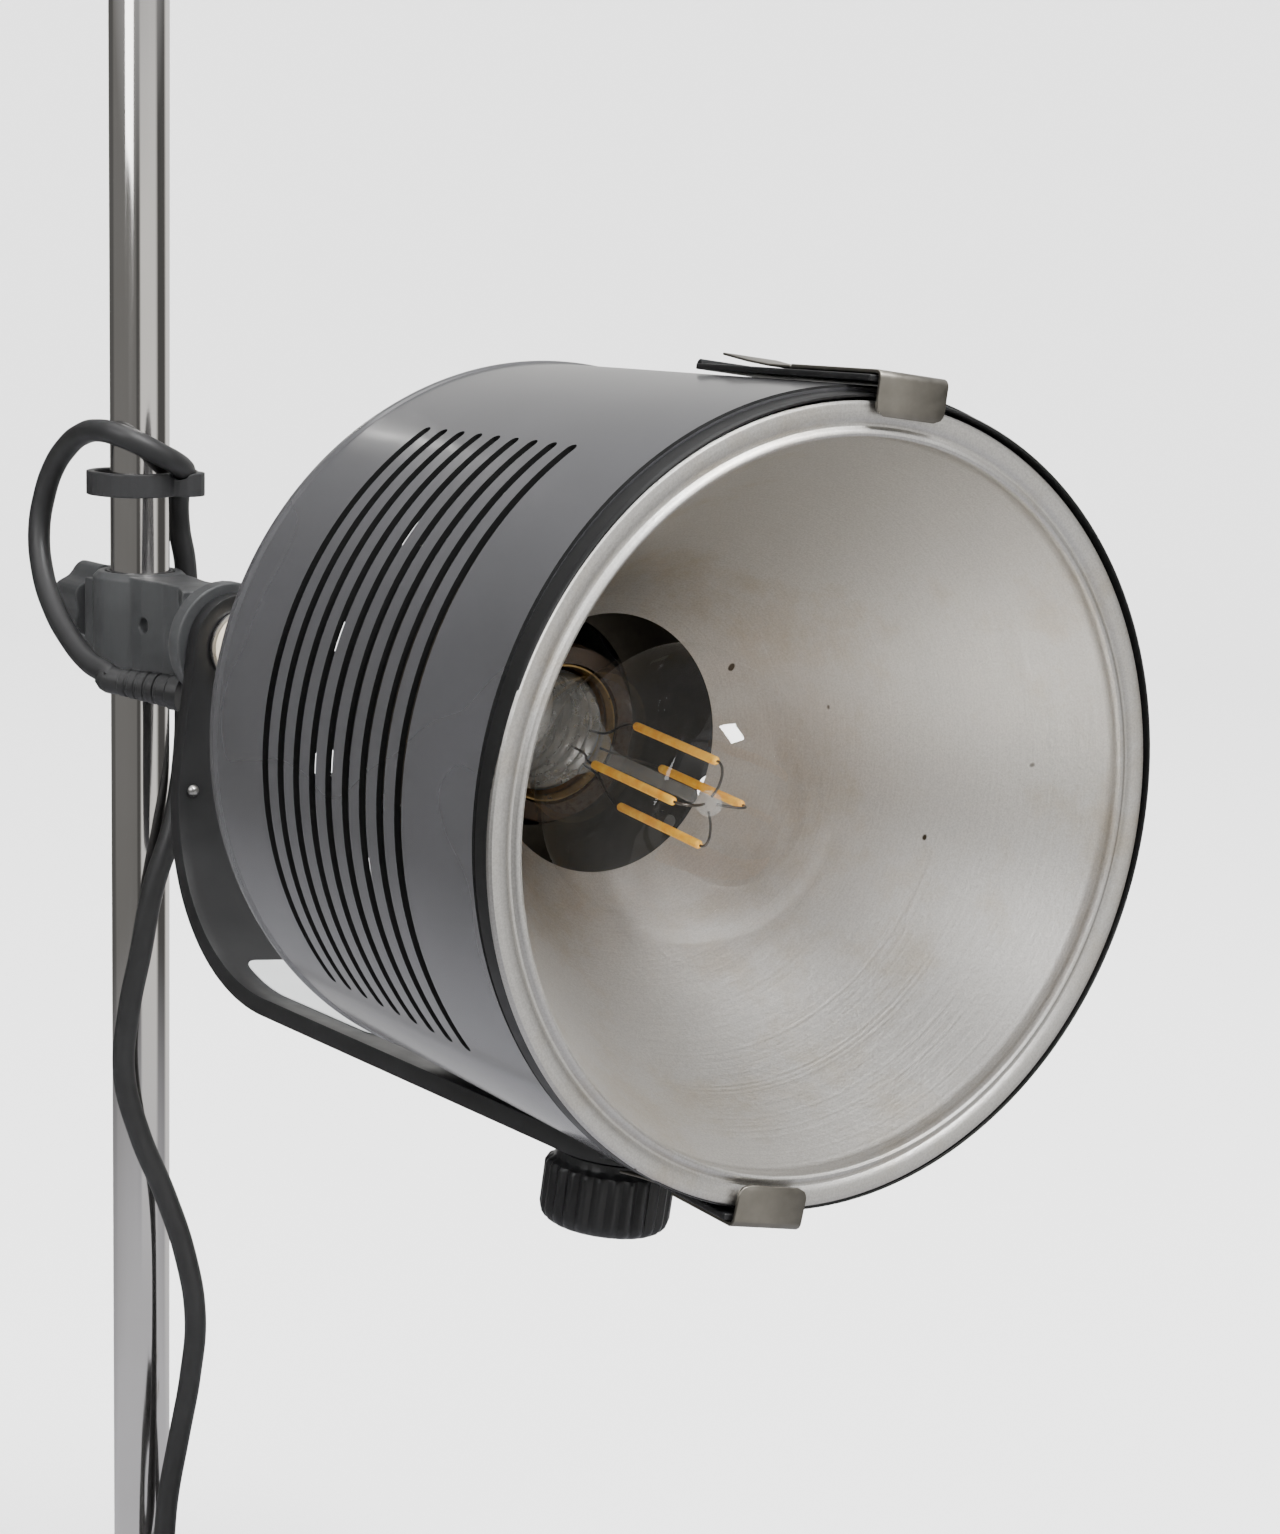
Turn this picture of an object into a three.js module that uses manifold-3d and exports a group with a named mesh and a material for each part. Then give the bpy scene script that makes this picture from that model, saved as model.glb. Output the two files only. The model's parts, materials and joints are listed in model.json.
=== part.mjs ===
// Adjustable spot lamp head on a section of chrome pole.
// Millimetres, +Z up along the pole, origin at the centre of the pole's lower end.
// At rest the yoke arm points along -Y, rolled and panned a little from the straight position.
import * as THREE from 'three';
import { mergeVertices } from 'three/addons/utils/BufferGeometryUtils.js';
import Module from 'manifold-3d';

const wasm = await Module();
wasm.setup();

// ---- driving dimensions ----
const GAP = 0.3; // air between touching pieces
const POLE_R = 7.5;
const POLE_LENGTH = 458;
const POLE_WALL = 1.2;
const AXIS_HEIGHT = 290; // height of the arm's pivot above the pole's lower end
const YOKE_ROLL = THREE.MathUtils.degToRad(8); // arm turned about its pivot
const HEAD_PAN = THREE.MathUtils.degToRad(-7); // head turned about the yoke knob

const CLAMP_HEIGHT = 26;
const CLAMP_R = 12;
const ARM_BACK = -45; // y of the arm's rear face
const ARM_THICKNESS = 4;
const ARM_WIDTH = 25;
const ARM_DROP = 80.3; // from the pivot down to the arm's lower face
const ARM_CORNER = 52; // outer radius of the arm's bend
const KNOB_Y = -209; // y of the yoke knob's axis
const KNOB_R = 13.3;

const SHADE_R = 75;
const SHADE_WALL = 1.2;
const SHADE_FRONT = -53.2; // y in the head's own frame, whose origin is on the knob's axis
const SHADE_REAR = 51.4;
const SLOT_COUNT = 9;
const SLOT_PITCH = 6.67;
const SLOT_WIDTH = 2.6;
const SLOT_HALF_ANGLE = THREE.MathUtils.degToRad(47.2);
const SLOT_OFFSET = THREE.MathUtils.degToRad(2.4); // the slot group sits a little high on the left
const RING_R = 74.5;
const REFLECTOR_R = 73.3;
const REFLECTOR_SHIFT = [-1.5, -1]; // the reflector sits a little off centre in its ring
const CLIP_WIDTH = 18;
const CLIP_FRONT = -59;
const CLIP_THICKNESS = 1.2;
const CLIP_TOP_REAR = -5.5;
const CLIP_BOTTOM_REAR = -17;
const BULB_TILT = THREE.MathUtils.degToRad(5.4); // the lamp holder droops
const BULB_TURN = THREE.MathUtils.degToRad(2.4);
const HOLDER_PIVOT = 68.8; // y of the point that the holder tilts about
const GLOBE_R = 30;

const CORD_D = 5.8;
const COIL_RADIUS = 32; // middle of the coil's turns
const COIL_TURNS_WIDE = 3;

// ---- helpers ----
function closed(geometry) {
  // One indexed mesh with shared vertices, no slivers, faces pointing out.
  const bare = geometry.clone();
  for (const name of Object.keys(bare.attributes)) {
    if (name !== 'position') bare.deleteAttribute(name);
  }
  const merged = mergeVertices(bare, 1e-4);
  const source = merged.index.array;
  const kept = [];
  for (let i = 0; i < source.length; i += 3) {
    const [a, b, c] = [source[i], source[i + 1], source[i + 2]];
    if (a !== b && b !== c && c !== a) kept.push(a, b, c);
  }
  merged.setIndex(kept);
  if (signedVolume(merged) < 0) {
    for (let i = 0; i < kept.length; i += 3) [kept[i], kept[i + 1]] = [kept[i + 1], kept[i]];
    merged.setIndex(kept);
  }
  return merged;
}

function signedVolume(geometry) {
  const p = geometry.attributes.position;
  const index = geometry.index.array;
  const corner = [new THREE.Vector3(), new THREE.Vector3(), new THREE.Vector3()];
  let volume = 0;
  for (let i = 0; i < index.length; i += 3) {
    corner.forEach((v, k) => v.fromBufferAttribute(p, index[i + k]));
    volume += corner[0].dot(corner[1].clone().cross(corner[2])) / 6;
  }
  return volume;
}

function toSolid(geometry) {
  const shape = closed(geometry);
  return new wasm.Manifold(new wasm.Mesh({
    numProp: 3,
    vertProperties: new Float32Array(shape.attributes.position.array),
    triVerts: new Uint32Array(shape.index.array),
  }));
}

function toGeometry(solid) {
  const mesh = solid.getMesh();
  const geometry = new THREE.BufferGeometry();
  geometry.setAttribute('position', new THREE.BufferAttribute(new Float32Array(mesh.vertProperties), 3));
  geometry.setIndex(Array.from(mesh.triVerts));
  return geometry;
}

function cut(base, ...tools) {
  return toGeometry(tools.reduce((solid, tool) => solid.subtract(toSolid(tool)), toSolid(base)));
}

function join(base, ...extras) {
  return toGeometry(extras.reduce((solid, extra) => solid.add(toSolid(extra)), toSolid(base)));
}

function keepInside(base, mask) {
  return toGeometry(toSolid(base).intersect(toSolid(mask)));
}

// Revolved about Y from [radius, y] points; a profile that leaves the axis closes on itself.
function turned(points, segments = 32) {
  const outline = points.map(([r, y]) => new THREE.Vector2(r, y));
  const onAxis = points[0][0] === 0 && points[points.length - 1][0] === 0;
  if (!onAxis) outline.push(outline[0].clone());
  return new THREE.LatheGeometry(outline, segments);
}

function tubeAlongY(inner, outer, y0, y1, segments = 32) {
  return turned([[inner, y0], [outer, y0], [outer, y1], [inner, y1]], segments);
}

function rodAlongY(radius, y0, y1, segments = 24) {
  return turned([[0, y0], [radius, y0], [radius, y1], [0, y1]], segments);
}

const alongZ = (geometry) => geometry.rotateX(Math.PI / 2);
const alongX = (geometry) => geometry.rotateZ(-Math.PI / 2);
const moved = (geometry, x, y, z) => geometry.translate(x, y, z);

function box(x0, x1, y0, y1, z0, z1) {
  const geometry = new THREE.BoxGeometry(x1 - x0, y1 - y0, z1 - z0);
  return moved(geometry, (x0 + x1) / 2, (y0 + y1) / 2, (z0 + z1) / 2);
}

function flatShape(points) {
  return new THREE.Shape(points.map(([x, y]) => new THREE.Vector2(x, y)));
}

function arcPoints(cx, cy, radius, from, to, steps) {
  const points = [];
  for (let i = 0; i <= steps; i += 1) {
    const angle = from + ((to - from) * i) / steps;
    points.push([cx + radius * Math.cos(angle), cy + radius * Math.sin(angle)]);
  }
  return points;
}

function circlePoints(radius, steps) {
  return arcPoints(0, 0, radius, 0, 2 * Math.PI, steps).slice(0, -1);
}

// Outline in (x, z), extruded along y from y0 to y1.
function slabAlongY(shape, y0, y1) {
  const geometry = new THREE.ExtrudeGeometry(shape, { depth: y1 - y0, bevelEnabled: false });
  return geometry.rotateX(Math.PI / 2).translate(0, y1, 0).scale(1, 1, 1);
}

// Outline in (y, z), extruded along x, centred on x = 0.
function slabAlongX(shape, width) {
  const geometry = new THREE.ExtrudeGeometry(shape, { depth: width, bevelEnabled: false });
  const axes = new THREE.Matrix4().set(0, 0, 1, -width / 2, 1, 0, 0, 0, 0, 1, 0, 0, 0, 0, 0, 1);
  return geometry.applyMatrix4(axes);
}

function ridgedOutline(radius, depth, count, stepsPerRidge) {
  const points = [];
  const total = count * stepsPerRidge;
  for (let i = 0; i < total; i += 1) {
    const angle = (2 * Math.PI * i) / total;
    const r = radius - (depth / 2) * (1 - Math.cos(count * angle));
    points.push([r * Math.cos(angle), r * Math.sin(angle)]);
  }
  return flatShape(points);
}

const finishes = {
  chrome: { color: 0xb9b6b0, roughness: 0.15, metalness: 1 },
  steel: { color: 0x8f8d88, roughness: 0.35, metalness: 1 },
  spun: { color: 0xa8a6a2, roughness: 0.4, metalness: 1 },
  brass: { color: 0xa9824a, roughness: 0.35, metalness: 1 },
  paint: { color: 0x17171a, roughness: 0.2, metalness: 0 },
  black: { color: 0x1b1b1c, roughness: 0.55, metalness: 0 },
  moulded: { color: 0x2c2c2d, roughness: 0.5, metalness: 0 },
  rubber: { color: 0x1d1d1e, roughness: 0.7, metalness: 0 },
  cream: { color: 0xd8cfb8, roughness: 0.45, metalness: 0 },
  paper: { color: 0xd5d5d0, roughness: 0.6, metalness: 0 },
  glass: { color: 0xf2f2f0, roughness: 0.05, metalness: 0 },
  filament: { color: 0xd08a1c, roughness: 0.6, metalness: 0 },
};

function piece(group, name, geometry, finish) {
  const mesh = new THREE.Mesh(closed(geometry), new THREE.MeshStandardMaterial(finishes[finish]));
  mesh.name = name;
  group.add(mesh);
  return mesh;
}

// ---- pole ----
function addPole(group) {
  const inner = POLE_R - POLE_WALL;
  const lip = 3;
  piece(group, 'pole_tube', alongZ(tubeAlongY(inner, POLE_R, lip + GAP, POLE_LENGTH - lip - GAP)), 'chrome');
  const foot = turned([[0, 0], [8.4, 0], [8.4, lip], [inner - GAP, lip], [inner - GAP, 16], [0, 16]]);
  piece(group, 'pole_foot_plug', alongZ(foot), 'black');
  const top = POLE_LENGTH;
  const cap = turned([[0, top - 16], [inner - GAP, top - 16], [inner - GAP, top - lip], [7.8, top - lip],
    [7.6, top - 0.8], [5, top], [0, top]]);
  piece(group, 'pole_top_plug', alongZ(cap), 'black');
}

// ---- clamp: everything here has its origin on the pole's axis at the pivot's height ----
function clampSleeve() {
  const half = CLAMP_HEIGHT / 2;
  const edge = 1.5;
  return alongZ(turned([[0, -half], [CLAMP_R - edge, -half], [CLAMP_R, -half + edge], [CLAMP_R, half - edge],
    [CLAMP_R - edge, half], [0, half]]));
}

function clampNeck() {
  // A waisted block between the sleeve and the pivot boss, seen from above.
  const outline = [[-8, -4], [-7.6, -14], [-6, -22], [-6.2, -30], [-10, -38], [10, -38], [6.2, -30],
    [6, -22], [7.6, -14], [8, -4]];
  const block = new THREE.ExtrudeGeometry(flatShape(outline), {
    depth: CLAMP_HEIGHT - 1, bevelEnabled: false,
  });
  return moved(block, 0, 0, -CLAMP_HEIGHT / 2 + 0.5);
}

function clampBoss() {
  const r = 15;
  return turned([[0, -44.4], [r, -44.4], [r, -40], [r - 4, -36], [0, -34]], 40);
}

function clampLug() {
  // The lug behind the pole that the clamping screw threads through.
  return box(-8.5, 8.5, 4, 14, -9, 10);
}

const SCREW_HEIGHT = 1.5;
function clampScrewBore(radius) {
  return moved(rodAlongY(radius, 5, 16, 24), 0, 0, SCREW_HEIGHT);
}

function addClampBody(group) {
  let shape = join(clampSleeve(), clampNeck(), clampBoss(), clampLug());
  const poleBore = alongZ(rodAlongY(POLE_R + 1.3, -20, 20, 36));
  const pivotBore = rodAlongY(4.3, -50, -24, 24);
  const sideHole = moved(alongX(rodAlongY(1.9, -12, -5, 16)), 0, -14.5, 1);
  const pocket = moved(new THREE.SphereGeometry(6, 14, 8), -10.4, -27, -1);
  const socket = pointedAlong(rodAlongY(4.95, -1, GLAND_LENGTH + 4, 20), LEAD_START, LEAD_DIRECTION);
  shape = cut(shape, poleBore, pivotBore, clampScrewBore(3.1), sideHole, pocket, socket);
  piece(group, 'clamp_body', shape, 'moulded');
}

function addClampScrew(group) {
  const disc = ridgedOutline(11.5, 1.6, 7, 8);
  const grip = slabAlongY(disc, 14.6, 26.5);
  const crown = turned([[0, 26], [8.5, 26], [7.5, 27.6], [0, 28.2]], 28);
  const stem = rodAlongY(2.8, 9.4, 16, 24);
  const collar = rodAlongY(6, 14.3, 15, 28);
  const knob = join(grip, crown, stem, collar);
  piece(group, 'clamp_knob', moved(knob, 0, 0, SCREW_HEIGHT), 'moulded');
}

function addPivot(group) {
  const inside = ARM_BACK - ARM_THICKNESS;
  const bolt = turned([
    [0, -26], [4, -26], [4, inside - 1.7], [6, inside - 1.7], [6, inside - 5], [0, inside - 5],
  ]);
  piece(group, 'pivot_bolt', bolt, 'steel');
  const cap = [[0, inside - 5.4], [6.4, inside - 5.4], [6.4, inside - 1.8], [8.4, inside - 1.8],
    [8.4, inside - 5.4], [6.6, inside - 7.4], [0, inside - 7.9]];
  piece(group, 'pivot_cap', turned(cap, 32), 'cream');
}

// ---- lead: routes are in the same frame as the clamp ----
const LEAD_START = new THREE.Vector3(-7.6, -34.5, -13.4);
const LEAD_DIRECTION = new THREE.Vector3(-0.52, 0.85, 0.09).normalize();
const GLAND_LENGTH = 20;
const COIL_CENTRE = new THREE.Vector3(7.6, -53.6, -AXIS_HEIGHT);
const COIL_BOTTOM = 1.4;

// Points that the visible stretch follows, from the gland to the top of the coil.
const leadPoints = [
  [-18.4, -17, -11.3], [-19.2, -8, -8.2], [-19.2, 1.5, -3.6], [-18.4, 12, 3.2], [-17.2, 20, 11.5],
  [-15.6, 24.6, 21.5], [-14, 24.8, 30], [-12.8, 22, 37.5], [-12, 16, 43.5], [-11.8, 8, 47.4],
  [-11.4, 0, 48.8], [-9.8, -6.4, 48.2], [-6.2, -10, 46.4], [-1.4, -11.6, 43.8], [4.2, -10.6, 41.2],
  [8.6, -7.4, 38.8], [10.9, -2.6, 36], [11.8, 1, 31], [13, 2.6, 23], [15.2, 3.4, 14], [16, 3.6, 0],
  [14.6, 2, -19], [10, -5, -35], [3.6, -10.4, -52.5], [-2.6, -10.8, -69], [-5.6, -10, -85.2],
  [-8.2, -8.1, -102], [-9.2, -7.4, -118.5], [-6.2, -10.2, -135], [-0.8, -14, -151.8], [3.4, -17.2, -168.5],
  [5.6, -18.8, -185.9], [5, -17.4, -203], [3, -15, -221.1], [0.6, -13, -240], [-1, -13.6, -253],
  [-3.8, -16.8, -261.5], [-8.8, -22.4, -266], [-15.2, -30, -267.4], [-20.4, -38.4, -267.2],
];

function tubeSolid(points, radius, sides, steps) {
  const curve = new THREE.CatmullRomCurve3(points.map((p) => new THREE.Vector3(...p)), false, 'centripetal');
  const section = flatShape(circlePoints(radius, sides));
  return new THREE.ExtrudeGeometry(section, { steps, extrudePath: curve, bevelEnabled: false });
}

function pointedAlong(geometry, start, direction) {
  // Geometry built along +Y from the origin is turned to a direction and moved to a start point.
  const turn = new THREE.Quaternion().setFromUnitVectors(new THREE.Vector3(0, 1, 0), direction);
  return geometry.applyQuaternion(turn).translate(start.x, start.y, start.z);
}

function leadRoute() {
  const exit = LEAD_START.clone().addScaledVector(LEAD_DIRECTION, GLAND_LENGTH + GAP);
  const next = LEAD_START.clone().addScaledVector(LEAD_DIRECTION, GLAND_LENGTH + 2);
  return [exit.toArray(), next.toArray(), ...leadPoints];
}

function addLead(group) {
  const gland = turned([[0, 0], [4.6, 0], [4.6, 3], [4, 3.6], [3.5, GLAND_LENGTH], [0, GLAND_LENGTH]], 20);
  piece(group, 'lead_gland', pointedAlong(gland, LEAD_START, LEAD_DIRECTION), 'rubber');
  piece(group, 'lead_cord', tubeSolid(leadRoute(), CORD_D / 2, 8, 62), 'rubber');

  const half = (COIL_TURNS_WIDE * CORD_D + 0.6) / 2;
  const middle = COIL_BOTTOM + half;
  const ring = turned(arcPoints(COIL_RADIUS, middle, half, 0, 2 * Math.PI, 10).slice(0, -1)
    .map(([r, y]) => [r, y]), 32);
  piece(group, 'lead_coil', alongZ(ring).translate(...COIL_CENTRE.toArray()), 'rubber');
  addTie(group, half, middle);
  addPlug(group, middle + half);
}

function addTie(group, half, middle) {
  const inner = half + 0.6;
  const outer = half + 1.35;
  const outline = flatShape(circlePoints(outer, 20));
  outline.holes.push(new THREE.Path(circlePoints(inner, 20).map(([x, y]) => new THREE.Vector2(x, y))));
  const tie = slabAlongY(outline, -3, 3);
  tie.translate(COIL_RADIUS, 0, middle);
  tie.rotateZ(THREE.MathUtils.degToRad(45));
  piece(group, 'coil_tie', tie.translate(...COIL_CENTRE.toArray()), 'black');
}

function addPlug(group, coilTop) {
  const plug = new THREE.Group();
  const halfThick = 6.6;
  plug.position.set(COIL_CENTRE.x, COIL_CENTRE.y, COIL_CENTRE.z + coilTop + halfThick + GAP);
  plug.rotation.z = THREE.MathUtils.degToRad(-70);
  group.add(plug);
  const outline = flatShape([
    [-13, 17], [13, 17], [16.5, 13], [13.5, -6], [5, -17], [-5, -17], [-13.5, -6], [-16.5, 13],
  ]);
  const shell = new THREE.ExtrudeGeometry(outline, {
    depth: 2 * halfThick - 3, bevelEnabled: true, bevelThickness: 1.5, bevelSize: 1.5, bevelOffset: -1.5,
    bevelSegments: 1,
  });
  shell.translate(0, 0, -halfThick + 1.5);
  const reliefLength = 12;
  const relief = turned([[0, -16], [4.4, -16], [3.5, -16 - reliefLength], [0, -16 - reliefLength]], 16);
  const bodyAt = [COIL_RADIUS - 4, 17, 0];
  piece(plug, 'plug_body', moved(join(shell, relief), ...bodyAt), 'black');
  for (const side of [-1, 1]) {
    const pin = turned([[0, 17.3], [2, 17.3], [2, 35], [1.2, 36], [0, 36]], 16);
    const name = side < 0 ? 'plug_pin_1' : 'plug_pin_2';
    piece(plug, name, moved(pin, bodyAt[0] + side * 9.2, bodyAt[1], 0), 'steel');
  }
}

const RING_HEIGHT = 32.4;
function addCableRing(group) {
  // A flat ring round the pole with an eye on its side for the lead.
  const outline = flatShape(circlePoints(11.6, 32));
  outline.holes.push(new THREE.Path(circlePoints(9.6, 32).map(([x, y]) => new THREE.Vector2(x, y))));
  const height = 6;
  const band = new THREE.ExtrudeGeometry(outline, { depth: height, bevelEnabled: false });
  const eyes = [[11.3, 0.6], [9.4, -6.2]].map(([x, y]) => {
    const eye = new THREE.ExtrudeGeometry(flatShape(circlePoints(5.2, 16)), {
      depth: height, bevelEnabled: false,
    });
    return eye.translate(x, y, 0);
  });
  const poleHole = new THREE.ExtrudeGeometry(flatShape(circlePoints(POLE_R + GAP, 36)), {
    depth: 3 * height, bevelEnabled: false,
  });
  const lead = tubeSolid(leadRoute(), CORD_D / 2 + 0.45, 10, 62).translate(0, 0, -RING_HEIGHT);
  const ring = cut(join(band.translate(-1.6, 1, 0), ...eyes), poleHole.translate(0, 0, -height), lead);
  piece(group, 'cable_ring', ring.translate(0, 0, RING_HEIGHT), 'black');
}

// ---- yoke: origin at the pivot, arm along -Y ----
function armProfile() {
  const top = -(ARM_DROP - ARM_THICKNESS);
  const bottom = -ARM_DROP;
  const front = KNOB_Y - 14;
  const centreY = ARM_BACK - ARM_CORNER;
  const centreZ = bottom + ARM_CORNER;
  const outer = arcPoints(centreY, centreZ, ARM_CORNER, -Math.PI / 2, 0, 12);
  const inner = arcPoints(centreY, centreZ, ARM_CORNER - ARM_THICKNESS, 0, -Math.PI / 2, 12);
  return flatShape([
    [front, bottom], ...outer, [ARM_BACK, 14], [ARM_BACK - ARM_THICKNESS, 14], ...inner, [front, top],
  ]);
}

function addYoke(group) {
  const half = ARM_WIDTH / 2;
  const strip = slabAlongX(armProfile(), ARM_WIDTH);
  const mask = join(
    box(-half - 1, half + 1, KNOB_Y, -30, -ARM_DROP - 2, 0),
    rodAlongY(half, -60, -40, 40),
    moved(alongZ(rodAlongY(half, -ARM_DROP - 2, -60, 40)), 0, KNOB_Y, 0),
  );
  const knobBore = moved(alongZ(rodAlongY(3.6, -90, -60, 20)), 0, KNOB_Y, 0);
  piece(group, 'yoke_arm', cut(keepInside(strip, mask), rodAlongY(4.4, -60, -40, 24), knobBore), 'black');

  const face = ARM_BACK - ARM_THICKNESS;
  piece(group, 'pivot_washer', tubeAlongY(4.4, 9, face - 1.5, face - GAP, 32), 'steel');
  const rivet = turned([[0, face - 1.5], [0.9, face - 1.2], [1.5, face - GAP], [0, face - GAP]], 16);
  piece(group, 'arm_rivet', moved(rivet, -9.1, -0.9, -36), 'steel');
  const labelTop = -(ARM_DROP - ARM_THICKNESS) + 0.7;
  piece(group, 'arm_label', box(-6, 11, -131, -98.5, labelTop - 0.4, labelTop), 'paper');
  const padLow = -(ARM_DROP - ARM_THICKNESS) + GAP;
  const pad = moved(alongZ(tubeAlongY(3.6, 6.5, padLow, -SHADE_R - GAP, 28)), 0, KNOB_Y, 0);
  piece(group, 'arm_spacer', pad, 'black');
}

function addYokeKnob(group) {
  const top = -ARM_DROP - GAP;
  const ridges = new THREE.ExtrudeGeometry(ridgedOutline(KNOB_R, 0.9, 22, 4), {
    depth: 11.2, bevelEnabled: false,
  });
  ridges.translate(0, 0, top - 13.2);
  const collar = alongZ(turned([[0, top - 2.2], [KNOB_R - 2, top - 2.2], [KNOB_R - 2.4, top], [0, top]], 32));
  const base = alongZ(turned([
    [0, top - 15], [KNOB_R - 3, top - 15], [KNOB_R - 1.2, top - 13], [0, top - 13],
  ], 32));
  const bore = alongZ(rodAlongY(3.3, -ARM_DROP - 11, -ARM_DROP + 5, 20));
  piece(group, 'yoke_knob', moved(cut(join(ridges, collar, base), bore), 0, KNOB_Y, 0), 'black');
  piece(group, 'yoke_stud', moved(alongZ(rodAlongY(3, -ARM_DROP - 10.5, -65, 20)), 0, KNOB_Y, 0), 'steel');
}

// ---- head: origin where the knob's axis meets the lamp's axis, front towards -Y ----
function slotCutter(index, side) {
  const middle = side > 0 ? SLOT_OFFSET : Math.PI - SLOT_OFFSET;
  const from = middle - SLOT_HALF_ANGLE;
  const to = middle + SLOT_HALF_ANGLE;
  const outline = flatShape([
    ...arcPoints(0, 0, SHADE_R + 3, from, to, 6), ...arcPoints(0, 0, SHADE_R - 6, to, from, 6),
  ]);
  const y = (index - (SLOT_COUNT - 1) / 2) * SLOT_PITCH;
  return slabAlongY(mirrorZ(outline), y - SLOT_WIDTH / 2, y + SLOT_WIDTH / 2);
}

// slabAlongY turns an outline's second axis downwards, so outlines with a top and a bottom are flipped first.
function mirrorZ(shape) {
  return new THREE.Shape(shape.getPoints().map((p) => new THREE.Vector2(p.x, -p.y)).reverse());
}

function addShade(group) {
  const inner = SHADE_R - SHADE_WALL;
  const bead = 0.5;
  let shell = turned([[inner, SHADE_FRONT], [SHADE_R - 0.3, SHADE_FRONT], [SHADE_R, SHADE_FRONT + 0.6],
    [SHADE_R, SHADE_REAR - 2.4], [SHADE_R + bead, SHADE_REAR - 1.6], [SHADE_R + bead, SHADE_REAR - 0.6],
    [SHADE_R, SHADE_REAR], [inner, SHADE_REAR]], 56);
  const cutters = [];
  for (let i = 0; i < SLOT_COUNT; i += 1) cutters.push(slotCutter(i, -1), slotCutter(i, 1));
  const studHole = alongZ(rodAlongY(3.6, -80, -70, 20));
  shell = cut(shell, ...cutters, studHole);
  piece(group, 'shade', shell, 'paint');
}

function addRearCover(group) {
  const y = SHADE_REAR + GAP;
  const r = SHADE_R - SHADE_WALL - GAP;
  const cup = 26;
  const end = 86;
  const outline = [[0, end], [cup - 5, end], [cup, end - 5], [cup, y + 3.6], [cup + 2, y + 1.5],
    [SHADE_R - 1, y + 1.5], [SHADE_R, y + 0.8], [SHADE_R, y], [r, y], [r, y - 4], [r - 1.5, y - 4],
    [r - 1.5, y],
    [cup - 1.4, y], [cup - 1.4, end - 5.6], [cup - 5.6, end - 1.5], [0, end - 1.5]];
  let cover = turned(outline, 40);
  const holes = [];
  for (let i = 0; i < 12; i += 1) {
    const angle = (2 * Math.PI * (i + 0.5)) / 12;
    holes.push(moved(rodAlongY(3.2, y - 2, y + 4, 8), 50 * Math.cos(angle), 0, 50 * Math.sin(angle)));
  }
  for (const angle of rearScrewAngles) {
    holes.push(moved(rodAlongY(1.9, y - 2, y + 4, 12), 40 * Math.cos(angle), 0, 40 * Math.sin(angle)));
  }
  holes.push(rodAlongY(3.4, end - 4, end + 4, 16));
  cover = cut(cover, ...holes);
  piece(group, 'rear_cover', cover, 'paint');
  const gland = turned([
    [0, end - 3], [3, end - 3], [3, end + GAP], [6, end + GAP], [5.6, end + 4], [4, end + 16],
    [0, end + 16]], 20);
  piece(group, 'rear_gland', gland, 'rubber');
}

const rearScrewAngles = [0, 1, 2].map((i) => (2 * Math.PI * i) / 3 + Math.PI / 2);

function addHolder(group) {
  const y = SHADE_REAR + GAP;
  const plate = tubeAlongY(23, 45, y - 2.3, y - GAP, 40);
  const holes = rearScrewAngles.map((angle) => moved(
    rodAlongY(1.9, y - 6, y + 6, 12), 40 * Math.cos(angle), 0, 40 * Math.sin(angle)));
  piece(group, 'holder_bracket', cut(plate, ...holes), 'steel');
  rearScrewAngles.forEach((angle, i) => {
    const screw = turned([
      [0, y - 6], [1.5, y - 6], [1.5, y + 1.8], [3.2, y + 1.8], [2.6, y + 3.4], [0, y + 3.8],
    ], 16);
    piece(group, `rear_screw_${i + 1}`, moved(screw, 40 * Math.cos(angle), 0, 40 * Math.sin(angle)), 'steel');
  });
}

function reflectorRadius(y) {
  // Parabola from the bead at the front to the hole at the back.
  const depth = y + 56.2;
  return Math.sqrt(49.4 * (91.9 - depth));
}

function addReflector(group) {
  const wall = 0.9;
  const front = -58.6;
  const back = 21.2;
  const steps = 8;
  const inside = [];
  const outside = [];
  for (let i = 0; i <= steps; i += 1) {
    const y = -55.4 + ((back + 55.4) * i) / steps;
    inside.push([reflectorRadius(y), y]);
    outside.push([reflectorRadius(y) + wall, y]);
  }
  const profile = [...inside, ...outside.reverse(), [67.9, -56.6], [69.5, -57], [REFLECTOR_R - 0.4, -56.9],
    [REFLECTOR_R, -57.6], [REFLECTOR_R - 0.5, front], [70.2, front], [69.2, front + 0.9], [68.4, front + 0.2],
    [67.3, front + 0.3]];
  const bowl = turned(profile, 48);
  piece(group, 'reflector', moved(bowl, REFLECTOR_SHIFT[0], 0, REFLECTOR_SHIFT[1]), 'spun');
}

function addFrontRing(group) {
  const y = SHADE_FRONT - GAP;
  const lip = [
    [70.6, y - 2.7], [RING_R - 0.6, y - 2.7], [RING_R, y - 2.1], [RING_R, y], [73.4, y], [73.4, y + 6],
    [71.8, y + 6], [71.8, y - 1], [70.6, y - 1]];
  piece(group, 'front_ring', turned(lip, 48), 'black');
}

function addKnobNut(group) {
  const hex = new THREE.ExtrudeGeometry(flatShape(circlePoints(5.8, 6)), { depth: 5.6, bevelEnabled: false });
  const bore = alongZ(rodAlongY(3.3, -80, -60, 20));
  piece(group, 'knob_nut', cut(hex.translate(0, 0, -73), bore), 'steel');
}

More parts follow.
